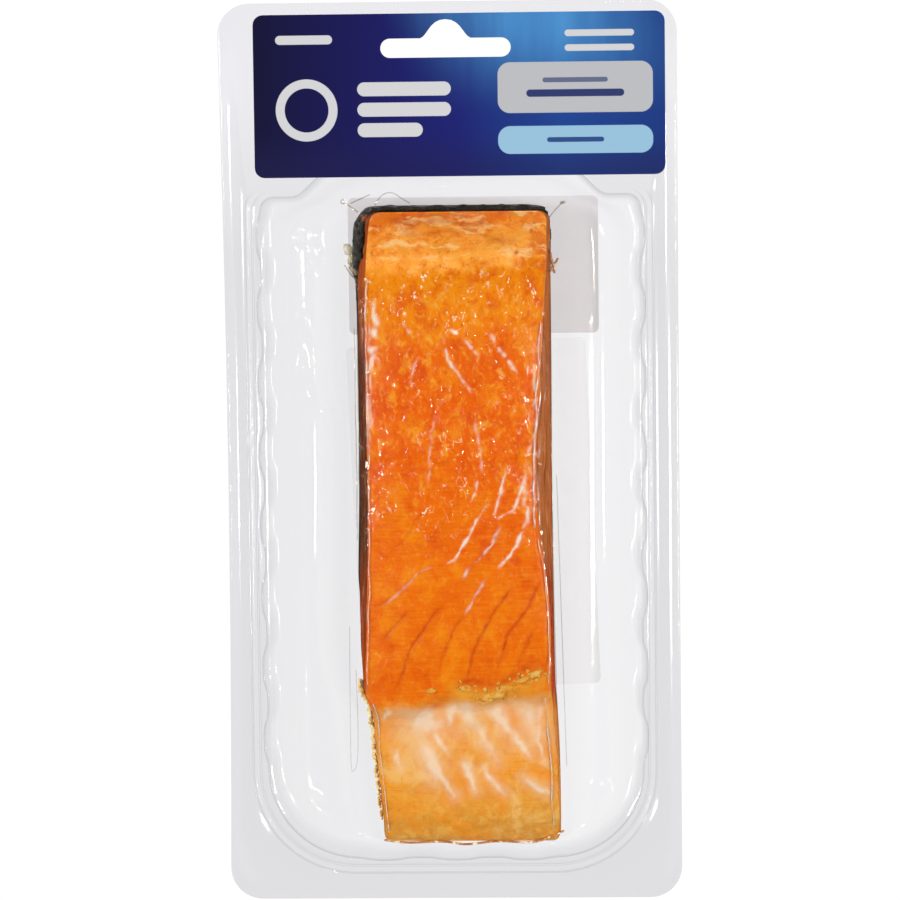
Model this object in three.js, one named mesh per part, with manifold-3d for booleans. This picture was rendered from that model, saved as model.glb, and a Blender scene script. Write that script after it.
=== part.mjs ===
// A hot smoked salmon fillet sealed under clear skin film on a clear thermoformed tray with a
// hang-hole header. The pack lies on its back, front up. Millimetres: +X to the right of the
// front, +Y towards the header, +Z up. The origin is under the middle of the pack.
import * as THREE from 'three';
import { LoftGeometry } from 'three/addons/geometries/LoftGeometry.js';
import { mergeVertices } from 'three/addons/utils/BufferGeometryUtils.js';
import Module from 'manifold-3d';

// Sheets, stacked from the back label up, and the gap that each keeps to the next
const backLabelSheet = 0.2;
const traySheet = 0.6;
const filmSheet = 0.4;
const headerLabelSheet = 0.25;
const gap = 0.2;

// Pack outline: its long edges bow in a little at mid length
const packWidth = 113;
const packLength = 223;
const packCorner = 8;
const packWaist = 0.75;

// Pocket that holds the fillet. Its side walls are scalloped to stiffen them, and its top edge
// steps up behind the header label.
const pocketDepth = 12;
const pocketMiddle = 0.35;
const pocketHalfWidth = 47;
const pocketBottom = -101.3;
const pocketShoulder = 63.6;
const pocketTop = 71;
const pocketStep = { from: 39, to: 28 };
const pocketCornerBottom = 22;
const pocketCornerTop = 3;
const pocketDraft = 1.2;
const scallop = { pitch: 17.9, crest: 54, side: 0.6, end: 0.35, sharpness: 1.6 };

// Stiffening bead that runs down both sides of the pocket and round its bottom
const bead = { halfWidth: 49.4, bottom: -104.2, corner: 24.4, top: 64, radius: 0.9, sunk: 0.35 };
const beadSteps = { arc: 10, run: 76, round: 4 };

// Hang hole: a slot with a rounded hump over its middle
const hole = { middle: -0.2, along: 100.15, halfWidth: 16, halfHeight: 2.35 };
const hump = { rise: 6.95, foot: 6.2, flank: 4.3, flankRise: 0.6, shoulder: 3.9 };
const holeSteps = 7;
const cornerSteps = 3;

// Printed labels
const headerLabel = { left: -47.5, right: 53.5, bottom: 68.7, top: 108.6, corner: 2.5 };
const upperBackLabel = { x: 5.6, y: 46.1, width: 62.4, length: 34.2, corner: 1.5, turn: 0 };
const lowerBackLabel = { x: 5, y: -16.8, width: 60, length: 87.4, corner: 1.5, turn: 0.037 };

// Fillet: its two ends, and at stations along it the two sides of its base, how far each side
// wall leans in up to the top face, and the thickness of the flesh
const filletTop = 59.6;
const filletBottom = -97.4;
const filletTopLean = 2.4;
const filletBottomLean = -0.3;
const filletCorner = 4;
const filletStations = [
  { along: -99, left: -18.2, right: 26.2, leftLean: 0.6, rightLean: 0.4, thick: 7.5 },
  { along: -90, left: -18.6, right: 26.3, leftLean: 0.6, rightLean: 0.4, thick: 11.6 },
  { along: -75, left: -20, right: 26.1, leftLean: 0.8, rightLean: 0.6, thick: 14.6 },
  { along: -64, left: -21, right: 25.6, leftLean: 1, rightLean: 0.8, thick: 16.4 },
  { along: -59, left: -22.9, right: 25.2, leftLean: 1.6, rightLean: 0.8, thick: 20 },
  { along: -36, left: -23.8, right: 24.9, leftLean: 3.2, rightLean: 0.8, thick: 22.5 },
  { along: -10, left: -23.3, right: 24.8, leftLean: 3.2, rightLean: 3.8, thick: 23.5 },
  { along: 20, left: -23.2, right: 24.9, leftLean: 3, rightLean: 2.6, thick: 24 },
  { along: 38, left: -23.3, right: 24.9, leftLean: 2.6, rightLean: 1.4, thick: 23 },
  { along: 48, left: -23.4, right: 24.9, leftLean: 2.4, rightLean: 0.8, thick: 19.8 },
  { along: 56, left: -23.2, right: 24.9, leftLean: 2.2, rightLean: 0.8, thick: 14.2 },
  { along: 62, left: -22.6, right: 24.6, leftLean: 2, rightLean: 0.8, thick: 9 },
];
const seam = { along: -0.5, depth: 0.7, halfWidth: 1.6 };
const flake = { pitch: 13.5, depth: 0.4, bend: -0.02, slant: 1.65, from: -60, to: 2, fade: 6 };
const ridgeInset = 22;

// The fillet's walls as shares of their lean and of the thickness, then its top face as shares of
// the way from its edge to its ridge, over which it rises by the last small part of its thickness.
// The film over it needs fewer.
const wallRises = [
  { rise: 0, height: 0 },
  { rise: 0.15, height: 0.3 },
  { rise: 0.45, height: 0.68 },
  { rise: 0.8, height: 0.88 },
];
const topShares = [0, 0.06, 0.16, 0.28, 0.42, 0.56, 0.7, 0.85, 1];
const filmShares = [0, 0.08, 0.2, 0.4, 0.68, 1];
const crownRise = 0.055;

// Skin under the flesh. Round the top end and down the left side it reaches past the flesh and
// turns up as a lip, high at the end and low along the side. Elsewhere it is tucked under.
const skinSheet = 1;
const skinTuck = 0.8;
const lipSheet = 0.9;
const lipEndSheet = 2;
const lipClear = 0.3;
const lipCorner = 7;
const leftLip = { begins: -62, reached: -54, risen: -44 };
const rightLip = { begins: 40, reached: 46, risen: 52 };
const lip = { low: 1.6, high: 8, endStart: 50, endFull: 58, sideHigh: 4, sideStart: 25 };

// Film: its clearance over the fillet and beside its foot, where it meets the foot's wall or the
// skin's lip, and how it sags to the floor between rim and fillet
const filmOver = 0.8;
const filmClear = 2;
const filmClearEnd = 2.9;
const filmCorner = 8;
const filmFoot = { share: 0.62, overLip: 1.2 };
const filmSag = [
  { share: 0.12, dip: 0.38 },
  { share: 0.28, dip: 0.88 },
  { share: 0.5, dip: 1 },
  { share: 0.74, dip: 0.86 },
  { share: 0.9, dip: 0.42 },
];
const filmSpan = { narrow: 3, wide: 9 };
const filmRim = { inset: 1.4, step: { from: 37, to: 25 }, cornerTop: 10 };

const trayUnder = backLabelSheet + gap;
const floorTop = trayUnder + traySheet;
const flangeTop = floorTop + pocketDepth;
const filmLow = flangeTop + gap;
const filmTop = filmLow + filmSheet;
const skinUnder = floorTop + gap;
const fleshUnder = skinUnder + skinSheet + gap;

// Levels under the pack from which bodies that only cut are built up, and how far they reach out
const below = -30;
const further = -40;
const reachOut = 2;

const wasm = await Module();
wasm.setup();

const { lerp, smoothstep } = THREE.MathUtils;

// A closed geometry as a solid: its shared points are merged and faces with no area dropped
function toSolid(geometry) {
  const bare = new THREE.BufferGeometry();
  bare.setAttribute('position', geometry.attributes.position);
  bare.setIndex(geometry.index);
  const merged = mergeVertices(bare, 1e-4);
  const corners = merged.index.array;
  const triVerts = [];
  for (let face = 0; face < corners.length; face += 3) {
    const [a, b, c] = corners.slice(face, face + 3);
    if (a !== b && b !== c && c !== a) triVerts.push(a, b, c);
  }
  const vertProperties = Float32Array.from(merged.attributes.position.array);
  return new wasm.Manifold(new wasm.Mesh({
    numProp: 3, vertProperties, triVerts: Uint32Array.from(triVerts),
  }));
}

function toGeometry(solid) {
  const { vertProperties, triVerts } = solid.getMesh();
  const geometry = new THREE.BufferGeometry();
  geometry.setAttribute('position', new THREE.BufferAttribute(Float32Array.from(vertProperties), 3));
  geometry.setIndex(new THREE.BufferAttribute(Uint32Array.from(triVerts), 1));
  return geometry;
}

// One value of the fillet's stations, smoothly along its length
function stationValue(name) {
  const places = Float32Array.from(filletStations, (station) => station.along);
  const values = Float32Array.from(filletStations, (station) => station[name]);
  const curve = new THREE.CubicInterpolant(places, values, 1, new Float32Array(1));
  const first = places[0];
  const last = places[places.length - 1];
  return (y) => curve.evaluate(THREE.MathUtils.clamp(y, first, last))[0];
}

// A closed ring, counterclockwise from the bottom left corner. Each side is a function of the
// coordinate that runs along it, so that rings of different shapes still match corner to corner.
function ring(edges, counts) {
  const { left, right, bottom, top, cornerBottom, cornerTop } = edges;
  const lowY = bottom(right(0) - cornerBottom) + cornerBottom;
  const highY = top(right(0) - cornerTop) - cornerTop;
  const corners = [
    { x: right(lowY) - cornerBottom, y: lowY, radius: cornerBottom, start: -Math.PI / 2 },
    { x: right(highY) - cornerTop, y: highY, radius: cornerTop, start: 0 },
    { x: left(highY) + cornerTop, y: highY, radius: cornerTop, start: Math.PI / 2 },
    { x: left(lowY) + cornerBottom, y: lowY, radius: cornerBottom, start: Math.PI },
  ];
  const [bottomRight, topRight, topLeft, bottomLeft] = corners;
  const sides = [
    { from: bottomLeft.x, to: bottomRight.x, steps: counts.end, point: (x) => [x, bottom(x)] },
    { from: bottomRight.y, to: topRight.y, steps: counts.side, point: (y) => [right(y), y] },
    { from: topRight.x, to: topLeft.x, steps: counts.end, point: (x) => [x, top(x)] },
    { from: topLeft.y, to: bottomLeft.y, steps: counts.side, point: (y) => [left(y), y] },
  ];
  const points = [];
  sides.forEach((side, index) => {
    for (let step = 0; step < side.steps; step += 1) {
      points.push(new THREE.Vector2(...side.point(lerp(side.from, side.to, step / side.steps))));
    }
    const corner = corners[index];
    for (let step = 0; step < counts.corner; step += 1) {
      const angle = corner.start + (step / counts.corner) * (Math.PI / 2);
      const x = corner.x + corner.radius * Math.cos(angle);
      points.push(new THREE.Vector2(x, corner.y + corner.radius * Math.sin(angle)));
    }
  });
  return points;
}

function grow(edges, by) {
  return {
    left: (y) => edges.left(y) - by,
    right: (y) => edges.right(y) + by,
    bottom: (x) => edges.bottom(x) - by,
    top: (x) => edges.top(x) + by,
    cornerBottom: Math.max(edges.cornerBottom + by, 0.5),
    cornerTop: Math.max(edges.cornerTop + by, 0.5),
  };
}

// Lifts a flat ring, by one height or by a height for each of its points
function lift(points, height) {
  const heightOf = typeof height === 'function' ? height : () => height;
  return points.map((point, index) => new THREE.Vector3(point.x, point.y, heightOf(point, index)));
}

const between = (from, to, share) => from.map((point, index) => point.clone().lerp(to[index], share));

// A ring drawn together to its middle, which closes the end of a loft
function closing(section) {
  const middle = section.reduce((sum, point) => sum.add(point), new THREE.Vector3());
  middle.divideScalar(section.length);
  return section.map(() => middle);
}

// A closed body through rings from its underside up. One whose last ring is already drawn
// together, to a line, needs no closing there.
function loft(sections, endsInLine = false) {
  const [first] = sections;
  const last = sections[sections.length - 1];
  const ending = endsInLine ? [] : [closing(last)];
  return toSolid(new LoftGeometry([closing(first), ...sections, ...ending]));
}

// A thin sheet: the body under its upper surface without the body under its lower one, each
// given as rings from the outside in
function sheet(upperRings, lowerRings, endsInLine) {
  const bodyUnder = (rings, floor) => {
    const skirt = rings[0].map((point) => new THREE.Vector3(point.x, point.y, floor));
    return loft([skirt, ...rings], endsInLine);
  };
  return bodyUnder(upperRings, below).subtract(bodyUnder(lowerRings, further));
}

const waist = (y) => packWaist * (1 - (2 * y / packLength) ** 2);
const packEdges = {
  left: (y) => -packWidth / 2 + waist(y),
  right: (y) => packWidth / 2 - waist(y),
  bottom: () => -packLength / 2,
  top: () => packLength / 2,
  cornerBottom: packCorner,
  cornerTop: packCorner,
};

// Blunt waves with flat crests, in and out of an edge
function wave(along, reach) {
  const turn = Math.cos((2 * Math.PI * (along - scallop.crest)) / scallop.pitch);
  return reach * Math.tanh(scallop.sharpness * turn);
}

// The pocket's top edge steps up from its shoulders to its middle
function pocketTopEdge(x, step) {
  const rise = smoothstep(-Math.abs(x - pocketMiddle), -step.from, -step.to);
  return lerp(pocketShoulder, pocketTop, rise);
}

const pocketEdges = {
  left: (y) => pocketMiddle - pocketHalfWidth - wave(y, scallop.side),
  right: (y) => pocketMiddle + pocketHalfWidth + wave(y, scallop.side),
  bottom: (x) => pocketBottom - wave(x, scallop.end),
  top: (x) => pocketTopEdge(x, pocketStep),
  cornerBottom: pocketCornerBottom,
  cornerTop: pocketCornerTop,
};
const filmRimEdges = {
  left: () => pocketMiddle - pocketHalfWidth + filmRim.inset,
  right: () => pocketMiddle + pocketHalfWidth - filmRim.inset,
  bottom: () => pocketBottom + filmRim.inset,
  top: (x) => pocketTopEdge(x, filmRim.step) - filmRim.inset,
  cornerBottom: pocketCornerBottom,
  cornerTop: filmRim.cornerTop,
};

const baseLeft = stationValue('left');
const baseRight = stationValue('right');
const leftLean = stationValue('leftLean');
const rightLean = stationValue('rightLean');
const thickness = stationValue('thick');

// The fillet's outline, from its base (rise 0) to the edge of its top face (rise 1)
function filletEdges(rise) {
  return {
    left: (y) => baseLeft(y) + rise * leftLean(y),
    right: (y) => baseRight(y) - rise * rightLean(y),
    bottom: () => filletBottom + rise * filletBottomLean,
    top: () => filletTop - rise * filletTopLean,
    cornerBottom: filletCorner,
    cornerTop: filletCorner,
  };
}

// The line along the crown of the fillet, to which the rings of its top face draw together
function ridgeEdges() {
  const middle = (y) => (baseLeft(y) + baseRight(y)) / 2;
  return {
    left: middle,
    right: middle,
    bottom: () => filletBottom + ridgeInset,
    top: () => filletTop - ridgeInset,
    cornerBottom: 0,
    cornerTop: 0,
  };
}

// Curved flake lines and the transverse seam, both sunk into the top face
function relief(x, y) {
  const across = Math.exp(-(((y - seam.along) / seam.halfWidth) ** 2));
  const line = y - flake.slant * x - flake.bend * x * x;
  const trough = Math.max(0, Math.sin((2 * Math.PI * line) / flake.pitch)) ** 4;
  const begins = smoothstep(y, flake.from, flake.from + flake.fade);
  const ends = 1 - smoothstep(y, flake.to - flake.fade, flake.to);
  return -seam.depth * across - flake.depth * trough * begins * ends;
}

function traySolid() {
  const counts = { end: 24, side: 50, corner: 6 };
  const upper = [
    lift(ring(packEdges, counts), flangeTop),
    lift(ring(pocketEdges, counts), flangeTop),
    lift(ring(grow(pocketEdges, -pocketDraft), counts), floorTop),
  ];
  const lower = [
    lift(ring(grow(packEdges, reachOut), counts), flangeTop - traySheet),
    lift(ring(grow(pocketEdges, traySheet), counts), flangeTop - traySheet),
    lift(ring(grow(pocketEdges, traySheet - pocketDraft), counts), trayUnder),
  ];
  return sheet(upper, lower).add(beadSolid()).subtract(holeSolid());
}

// The bead's U-shaped run, with a rounded end at each side of the header
function beadSolid() {
  const { halfWidth, bottom, corner, top, radius, sunk } = bead;
  const height = flangeTop - traySheet - sunk;
  const centreX = halfWidth - corner;
  const centreY = bottom + corner;
  const route = [new THREE.Vector3(-halfWidth, top, height)];
  for (let step = 0; step <= beadSteps.arc; step += 1) {
    const angle = Math.PI + (step / beadSteps.arc) * (Math.PI / 2);
    const x = corner * Math.cos(angle) - centreX;
    route.push(new THREE.Vector3(x, centreY + corner * Math.sin(angle), height));
  }
  const mirrored = route.map((point) => new THREE.Vector3(-point.x, point.y, point.z)).reverse();
  const path = new THREE.CurvePath();
  const points = [...route, ...mirrored];
  for (let index = 1; index < points.length; index += 1) {
    path.add(new THREE.LineCurve3(points[index - 1], points[index]));
  }
  const section = new THREE.Shape().absarc(0, 0, radius, 0, 2 * Math.PI);
  const solidRun = new THREE.ExtrudeGeometry(section, {
    steps: beadSteps.run, curveSegments: beadSteps.round, bevelEnabled: false, extrudePath: path,
  });
  let solid = toSolid(solidRun);
  for (const side of [-1, 1]) {
    const end = new THREE.SphereGeometry(radius, 2 * beadSteps.round, beadSteps.round + 2);
    end.rotateX(Math.PI / 2);
    end.translate(side * halfWidth, top, height);
    solid = solid.add(toSolid(end));
  }
  return solid;
}

function holeShape() {
  const { middle, along, halfWidth, halfHeight } = hole;
  const peak = along + hump.rise;
  const brow = along + halfHeight;
  const shape = new THREE.Shape();
  shape.moveTo(middle - halfWidth + halfHeight, along - halfHeight);
  shape.lineTo(middle + halfWidth - halfHeight, along - halfHeight);
  shape.absarc(middle + halfWidth - halfHeight, along, halfHeight, -Math.PI / 2, Math.PI / 2);
  shape.lineTo(middle + hump.foot, brow);
  const low = brow + hump.flankRise;
  shape.bezierCurveTo(middle + hump.flank, low, middle + hump.shoulder, peak, middle, peak);
  shape.bezierCurveTo(middle - hump.shoulder, peak, middle - hump.flank, low, middle - hump.foot, brow);
  shape.lineTo(middle - halfWidth + halfHeight, brow);
  shape.absarc(middle - halfWidth + halfHeight, along, halfHeight, Math.PI / 2, 1.5 * Math.PI);
  return shape;
}

// A flat plate of the given outline
function plate(shape, depth, curveSegments) {
  return new THREE.ExtrudeGeometry(shape, { depth, bevelEnabled: false, curveSegments });
}

function holeSolid() {
  const cutter = plate(holeShape(), 2 * -below, holeSteps);
  cutter.translate(0, 0, below);
  return toSolid(cutter);
}

const crown = (share) => 1 - crownRise * (1 - share) ** 3;

function fleshSolid() {
  const counts = { end: 14, side: 50, corner: 5 };
  const walls = wallRises.map(({ rise, height }) => (
    lift(ring(filletEdges(rise), counts), ({ y }) => fleshUnder + height * thickness(y))
  ));
  const edge = ring(filletEdges(1), counts);
  const ridgeRing = ring(ridgeEdges(), counts);
  const tops = topShares.map((share) => lift(
    between(edge, ridgeRing, share),
    ({ x, y }) => fleshUnder + crown(share) * thickness(y) + (share > 0 ? relief(x, y) : 0),
  ));
  return loft([...walls, ...tops], true);
}

// How high the skin stands at its edge, as a flat sheet or as a lip
function lipHeight({ x, y }) {
  const side = x < 0 ? leftLip : rightLip;
  const end = smoothstep(y, lip.endStart, lip.endFull);
  const upperLeft = x < 0 ? smoothstep(y, lip.sideStart, lip.endStart) : 0;
  const height = lip.low + (lip.sideHigh - lip.low) * upperLeft + (lip.high - lip.sideHigh) * end;
  return lerp(skinSheet, height, smoothstep(y, side.reached, side.risen));
}

// The skin's outline, with the lip's thickness added at the sides and at the top end
function skinEdges(sideSheet, endSheet, cornerTop) {
  const reach = (side, y) => {
    const reached = smoothstep(y, side.begins, side.reached);
    return lerp(-skinTuck - lipSheet, lipClear, reached) + sideSheet;
  };
  return {
    left: (y) => baseLeft(y) - reach(leftLip, y),
    right: (y) => baseRight(y) + reach(rightLip, y),
    bottom: () => filletBottom + skinTuck + lipSheet - sideSheet,
    top: () => filletTop + lipClear + endSheet,
    cornerBottom: filletCorner,
    cornerTop,
  };
}

function skinSolid() {
  const counts = { end: 12, side: 48, corner: 5 };
  const outer = ring(skinEdges(lipSheet, lipEndSheet, lipCorner), counts);
  const inner = ring(skinEdges(0, 0, filletCorner), counts);
  const sections = [
    lift(outer, skinUnder),
    lift(outer, (point) => skinUnder + lipHeight(point)),
    lift(inner, (point) => skinUnder + lipHeight(point)),
    lift(inner, skinUnder + skinSheet),
  ];
  return loft(sections);
}

// The film's rings from the pack's edge, over the rim, down to the floor, and over the fillet
function filmRings(counts) {
  const rim = ring(filmRimEdges, counts);
  const foot = ring({
    ...grow(filletEdges(0), filmClear), top: () => filletTop + filmClearEnd, cornerTop: filmCorner,
  }, counts);
  const footHeight = ({ x, y }) => {
    const beside = fleshUnder + filmFoot.share * thickness(y);
    return Math.max(beside, skinUnder + lipHeight({ x, y }) + filmFoot.overLip);
  };
  const floorHeight = floorTop + gap + filmSheet;
  const sagged = filmSag.map(({ share, dip }) => lift(between(rim, foot, share), (point, index) => {
    const span = rim[index].distanceTo(foot[index]);
    const straight = lerp(filmTop, footHeight(foot[index]), share);
    const reach = smoothstep(span, filmSpan.narrow, filmSpan.wide);
    return lerp(straight, floorHeight, dip * reach);
  }));
  const edge = ring(grow(filletEdges(1), filmOver), counts);
  const ridgeRing = ring(ridgeEdges(), counts);
  const tops = filmShares.map((share) => lift(
    between(edge, ridgeRing, share),
    ({ y }) => fleshUnder + crown(share) * thickness(y) + filmOver + filmSheet,
  ));
  return [lift(rim, filmTop), ...sagged, lift(foot, footHeight), ...tops];
}

function filmSolid() {
  const counts = { end: 10, side: 26, corner: 5 };
  const inside = filmRings(counts);
  const upper = [lift(ring(packEdges, counts), filmTop), ...inside];
  const outside = lift(ring(grow(packEdges, reachOut), counts), filmTop);
  const lower = [outside, ...inside].map((section) => (
    section.map((point) => new THREE.Vector3(point.x, point.y, point.z - filmSheet))
  ));
  return sheet(upper, lower, true).subtract(holeSolid());
}

function roundedShape(width, length, corner) {
  const x = width / 2 - corner;
  const y = length / 2 - corner;
  const shape = new THREE.Shape();
  shape.absarc(x, -y, corner, -Math.PI / 2, 0);
  shape.absarc(x, y, corner, 0, Math.PI / 2);
  shape.absarc(-x, y, corner, Math.PI / 2, Math.PI);
  shape.absarc(-x, -y, corner, Math.PI, 1.5 * Math.PI);
  return shape;
}

function headerLabelSolid() {
  const { left, right, bottom, top, corner } = headerLabel;
  const shape = roundedShape(right - left, top - bottom, corner);
  const label = plate(shape, headerLabelSheet, cornerSteps);
  label.translate((left + right) / 2, (bottom + top) / 2, filmTop + gap);
  return toSolid(label).subtract(holeSolid());
}

function backLabelMesh(name, label) {
  const shape = roundedShape(label.width, label.length, label.corner);
  const mesh = named(name, toSolid(plate(shape, backLabelSheet, cornerSteps)), paper);
  mesh.position.set(label.x, label.y, 0);
  mesh.rotation.z = label.turn;
  return mesh;
}

const clearPlastic = new THREE.MeshStandardMaterial({
  color: 0xe9eaee, roughness: 0.08, metalness: 0, transparent: true, opacity: 0.3,
});
const clearFilm = new THREE.MeshStandardMaterial({
  color: 0xf2f2f4, roughness: 0.12, metalness: 0, transparent: true, opacity: 0.22,
});
const smokedFlesh = new THREE.MeshStandardMaterial({ color: 0xe8862f, roughness: 0.4, metalness: 0 });
const fishSkin = new THREE.MeshStandardMaterial({ color: 0x2b2a22, roughness: 0.45, metalness: 0 });
const bluePrint = new THREE.MeshStandardMaterial({ color: 0x17337f, roughness: 0.35, metalness: 0 });
const paper = new THREE.MeshStandardMaterial({ color: 0xd4d0cd, roughness: 0.7, metalness: 0 });

function named(name, solid, material) {
  const mesh = new THREE.Mesh(toGeometry(solid), material);
  mesh.name = name;
  return mesh;
}

const pack = new THREE.Group();
pack.add(
  named('clear_tray', traySolid(), clearPlastic),
  named('skin_film', filmSolid(), clearFilm),
  named('salmon_flesh', fleshSolid(), smokedFlesh),
  named('salmon_skin', skinSolid(), fishSkin),
  named('header_label', headerLabelSolid(), bluePrint),
  backLabelMesh('back_label_upper', upperBackLabel),
  backLabelMesh('back_label_lower', lowerBackLabel),
);

export default pack;
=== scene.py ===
import math
import random

import bmesh
import bpy
from mathutils import Matrix, Vector, noise
from mathutils.bvhtree import BVHTree


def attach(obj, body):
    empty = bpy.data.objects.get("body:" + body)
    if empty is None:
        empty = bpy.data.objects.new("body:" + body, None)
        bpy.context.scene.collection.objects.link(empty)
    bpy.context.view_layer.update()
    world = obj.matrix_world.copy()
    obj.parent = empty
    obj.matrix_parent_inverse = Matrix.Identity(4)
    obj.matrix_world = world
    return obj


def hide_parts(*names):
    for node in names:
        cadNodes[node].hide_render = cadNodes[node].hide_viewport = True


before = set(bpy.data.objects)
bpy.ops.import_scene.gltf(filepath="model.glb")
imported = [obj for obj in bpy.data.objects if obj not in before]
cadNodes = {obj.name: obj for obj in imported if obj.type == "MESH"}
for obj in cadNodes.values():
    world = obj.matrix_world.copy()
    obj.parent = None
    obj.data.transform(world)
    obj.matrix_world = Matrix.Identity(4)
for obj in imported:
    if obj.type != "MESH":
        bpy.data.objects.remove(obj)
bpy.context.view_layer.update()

# A hot smoked salmon fillet sealed under clear film on a clear tray with a printed header.
# Sizes in the dictionaries are millimetres in the frame's own axes, and colours of 0 to 255 are
# as they are read off a screen.
mm = 0.001


def smooth(value, low, high):
    share = min(max((value - low) / (high - low), 0.0), 1.0)
    return share * share * (3 - 2 * share)


def mix(a, b, share):
    return a + (b - a) * share


def bell(away, wide):
    return math.exp(-(away / wide) ** 2)


def grown(edges, by):
    return {
        "left": lambda y: edges["left"](y) - by,
        "right": lambda y: edges["right"](y) + by,
        "bottom": lambda x: edges["bottom"](x) - by,
        "top": lambda x: edges["top"](x) + by,
        "cornerBottom": max(edges["cornerBottom"] + by, 0.5),
        "cornerTop": max(edges["cornerTop"] + by, 0.5),
    }


def outline(edges, counts):
    # points round a rounded outline, counterclockwise from its bottom left corner
    left, right, bottom, top = (edges[name] for name in ("left", "right", "bottom", "top"))
    low, high = edges["cornerBottom"], edges["cornerTop"]
    lowY = bottom(right(0) - low) + low
    highY = top(right(0) - high) - high
    corners = [
        (right(lowY) - low, lowY, low, -90),
        (right(highY) - high, highY, high, 0),
        (left(highY) + high, highY, high, 90),
        (left(lowY) + low, lowY, low, 180),
    ]
    sides = [
        (corners[3][0], corners[0][0], counts["end"], lambda x: (x, bottom(x))),
        (corners[0][1], corners[1][1], counts["side"], lambda y: (right(y), y)),
        (corners[1][0], corners[2][0], counts["end"], lambda x: (x, top(x))),
        (corners[2][1], corners[3][1], counts["side"], lambda y: (left(y), y)),
    ]
    points = []
    for (start, end, steps, point), (x, y, radius, begin) in zip(sides, corners):
        points += [point(mix(start, end, step / steps)) for step in range(steps)]
        for step in range(counts["corner"]):
            angle = math.radians(begin + 90 * step / counts["corner"])
            points.append((x + radius * math.cos(angle), y + radius * math.sin(angle)))
    return points


def fitted(u, v, edges):
    # a point of a square, -1 to 1 each way, moved into a rounded outline
    halfX = (edges["right"](0) - edges["left"](0)) / 2
    halfY = (edges["top"](0) - edges["bottom"](0)) / 2
    corner = edges["cornerBottom"] if v < 0 else edges["cornerTop"]
    cornerU, cornerV = corner / halfX, corner / halfY
    a = (abs(u) - 1 + cornerU) / cornerU
    b = (abs(v) - 1 + cornerV) / cornerV
    if a > 0 and b > 0:
        roundA, roundB = a * math.sqrt(1 - b * b / 2), b * math.sqrt(1 - a * a / 2)
        u = math.copysign(1 - cornerU + roundA * cornerU, u)
        v = math.copysign(1 - cornerV + roundB * cornerV, v)
    y = mix(edges["bottom"](0), edges["top"](0), (v + 1) / 2)
    return mix(edges["left"](y), edges["right"](y), (u + 1) / 2), y


def startRing(bm, places):
    # a closed ring of points, which a layer numbers so that what is extruded keeps their order
    order = bm.verts.layers.int.new("order")
    ring = bmesh.ops.create_circle(bm, segments=len(places), radius=1)["verts"]
    for index, (vert, place) in enumerate(zip(ring, places)):
        vert[order] = index
        vert.co = Vector(place) * mm
    bm.edges.ensure_lookup_table()
    return order, list(bm.edges)


def extruded(bm, edges):
    made = bmesh.ops.extrude_edge_only(bm, edges=edges)["geom"]
    verts = {part for part in made if isinstance(part, bmesh.types.BMVert)}
    return verts, [
        part for part in made
        if isinstance(part, bmesh.types.BMEdge) and set(part.verts) <= verts
    ]


def nextRing(bm, order, edges, places):
    verts, edges = extruded(bm, edges)
    for vert in verts:
        vert.co = Vector(places[vert[order]]) * mm
    return edges


def meshObject(name, bm, materials=(), rounded=True):
    # the finished mesh as an object at the origin
    mesh = bpy.data.meshes.new(name)
    bm.to_mesh(mesh)
    bm.free()
    mesh.polygons.foreach_set("use_smooth", [rounded] * len(mesh.polygons))
    for material in materials:
        mesh.materials.append(material)
    piece = bpy.data.objects.new(name, mesh)
    bpy.context.scene.collection.objects.link(piece)
    return piece


def entered(piece, replaced):
    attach(piece, "root")
    if replaced:
        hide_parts(replaced)
    return piece


def reported(piece):
    print("made", piece.name, len(piece.data.polygons), "faces")
    return piece


def placed(name, bm, materials, replaced=None):
    bmesh.ops.recalc_face_normals(bm, faces=bm.faces)
    return reported(entered(meshObject(name, bm, materials), replaced))


def settled(piece):
    # the piece's modifiers applied
    graph = bpy.context.evaluated_depsgraph_get()
    mesh = bpy.data.meshes.new_from_object(piece.evaluated_get(graph))
    piece.modifiers.clear()
    piece.data = mesh
    return piece


def sheetPiece(name, bm, material, replaced, thickness, cutter):
    # a sheet of even thickness under a surface, with the hang hole cut through it
    bmesh.ops.recalc_face_normals(bm, faces=bm.faces)
    if sum(face.normal.z * face.calc_area() for face in bm.faces) < 0:
        bmesh.ops.reverse_faces(bm, faces=bm.faces)
    piece = entered(meshObject(name, bm, [material]), replaced)
    solidify = piece.modifiers.new("sheet", "SOLIDIFY")
    solidify.thickness = thickness * mm
    solidify.offset = -1
    cut = piece.modifiers.new("hangHole", "BOOLEAN")
    cut.operation = "DIFFERENCE"
    cut.object = cutter
    cut.solver = "EXACT"
    return reported(settled(piece))


def mergedCopy(name):
    bm = bmesh.new()
    bm.from_mesh(cadNodes[name].data)
    bmesh.ops.remove_doubles(bm, verts=bm.verts, dist=0.01 * mm)
    return bm


def heightOn(tree, x, y):
    hit = tree.ray_cast(Vector((x * mm, y * mm, 0.06)), Vector((0, 0, -1)))
    return hit[0].z / mm if hit[0] else None


def rough(x, y, size, seed, octaves=2):
    # noise from about -1 to 1 with features of the given size
    point = Vector((x / size, y / size, seed * 7.3))
    return noise.fractal(point, 1.0, 2.0, octaves)


def swayed(x, y, waves):
    # that noise in several sizes together, each as its reach, size and seed
    return sum(reach * rough(x, y, size, seed) for reach, size, seed in waves)


def patchy(x, y, level, reach, size, seed):
    return level + reach * rough(x, y, size, seed)


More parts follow.
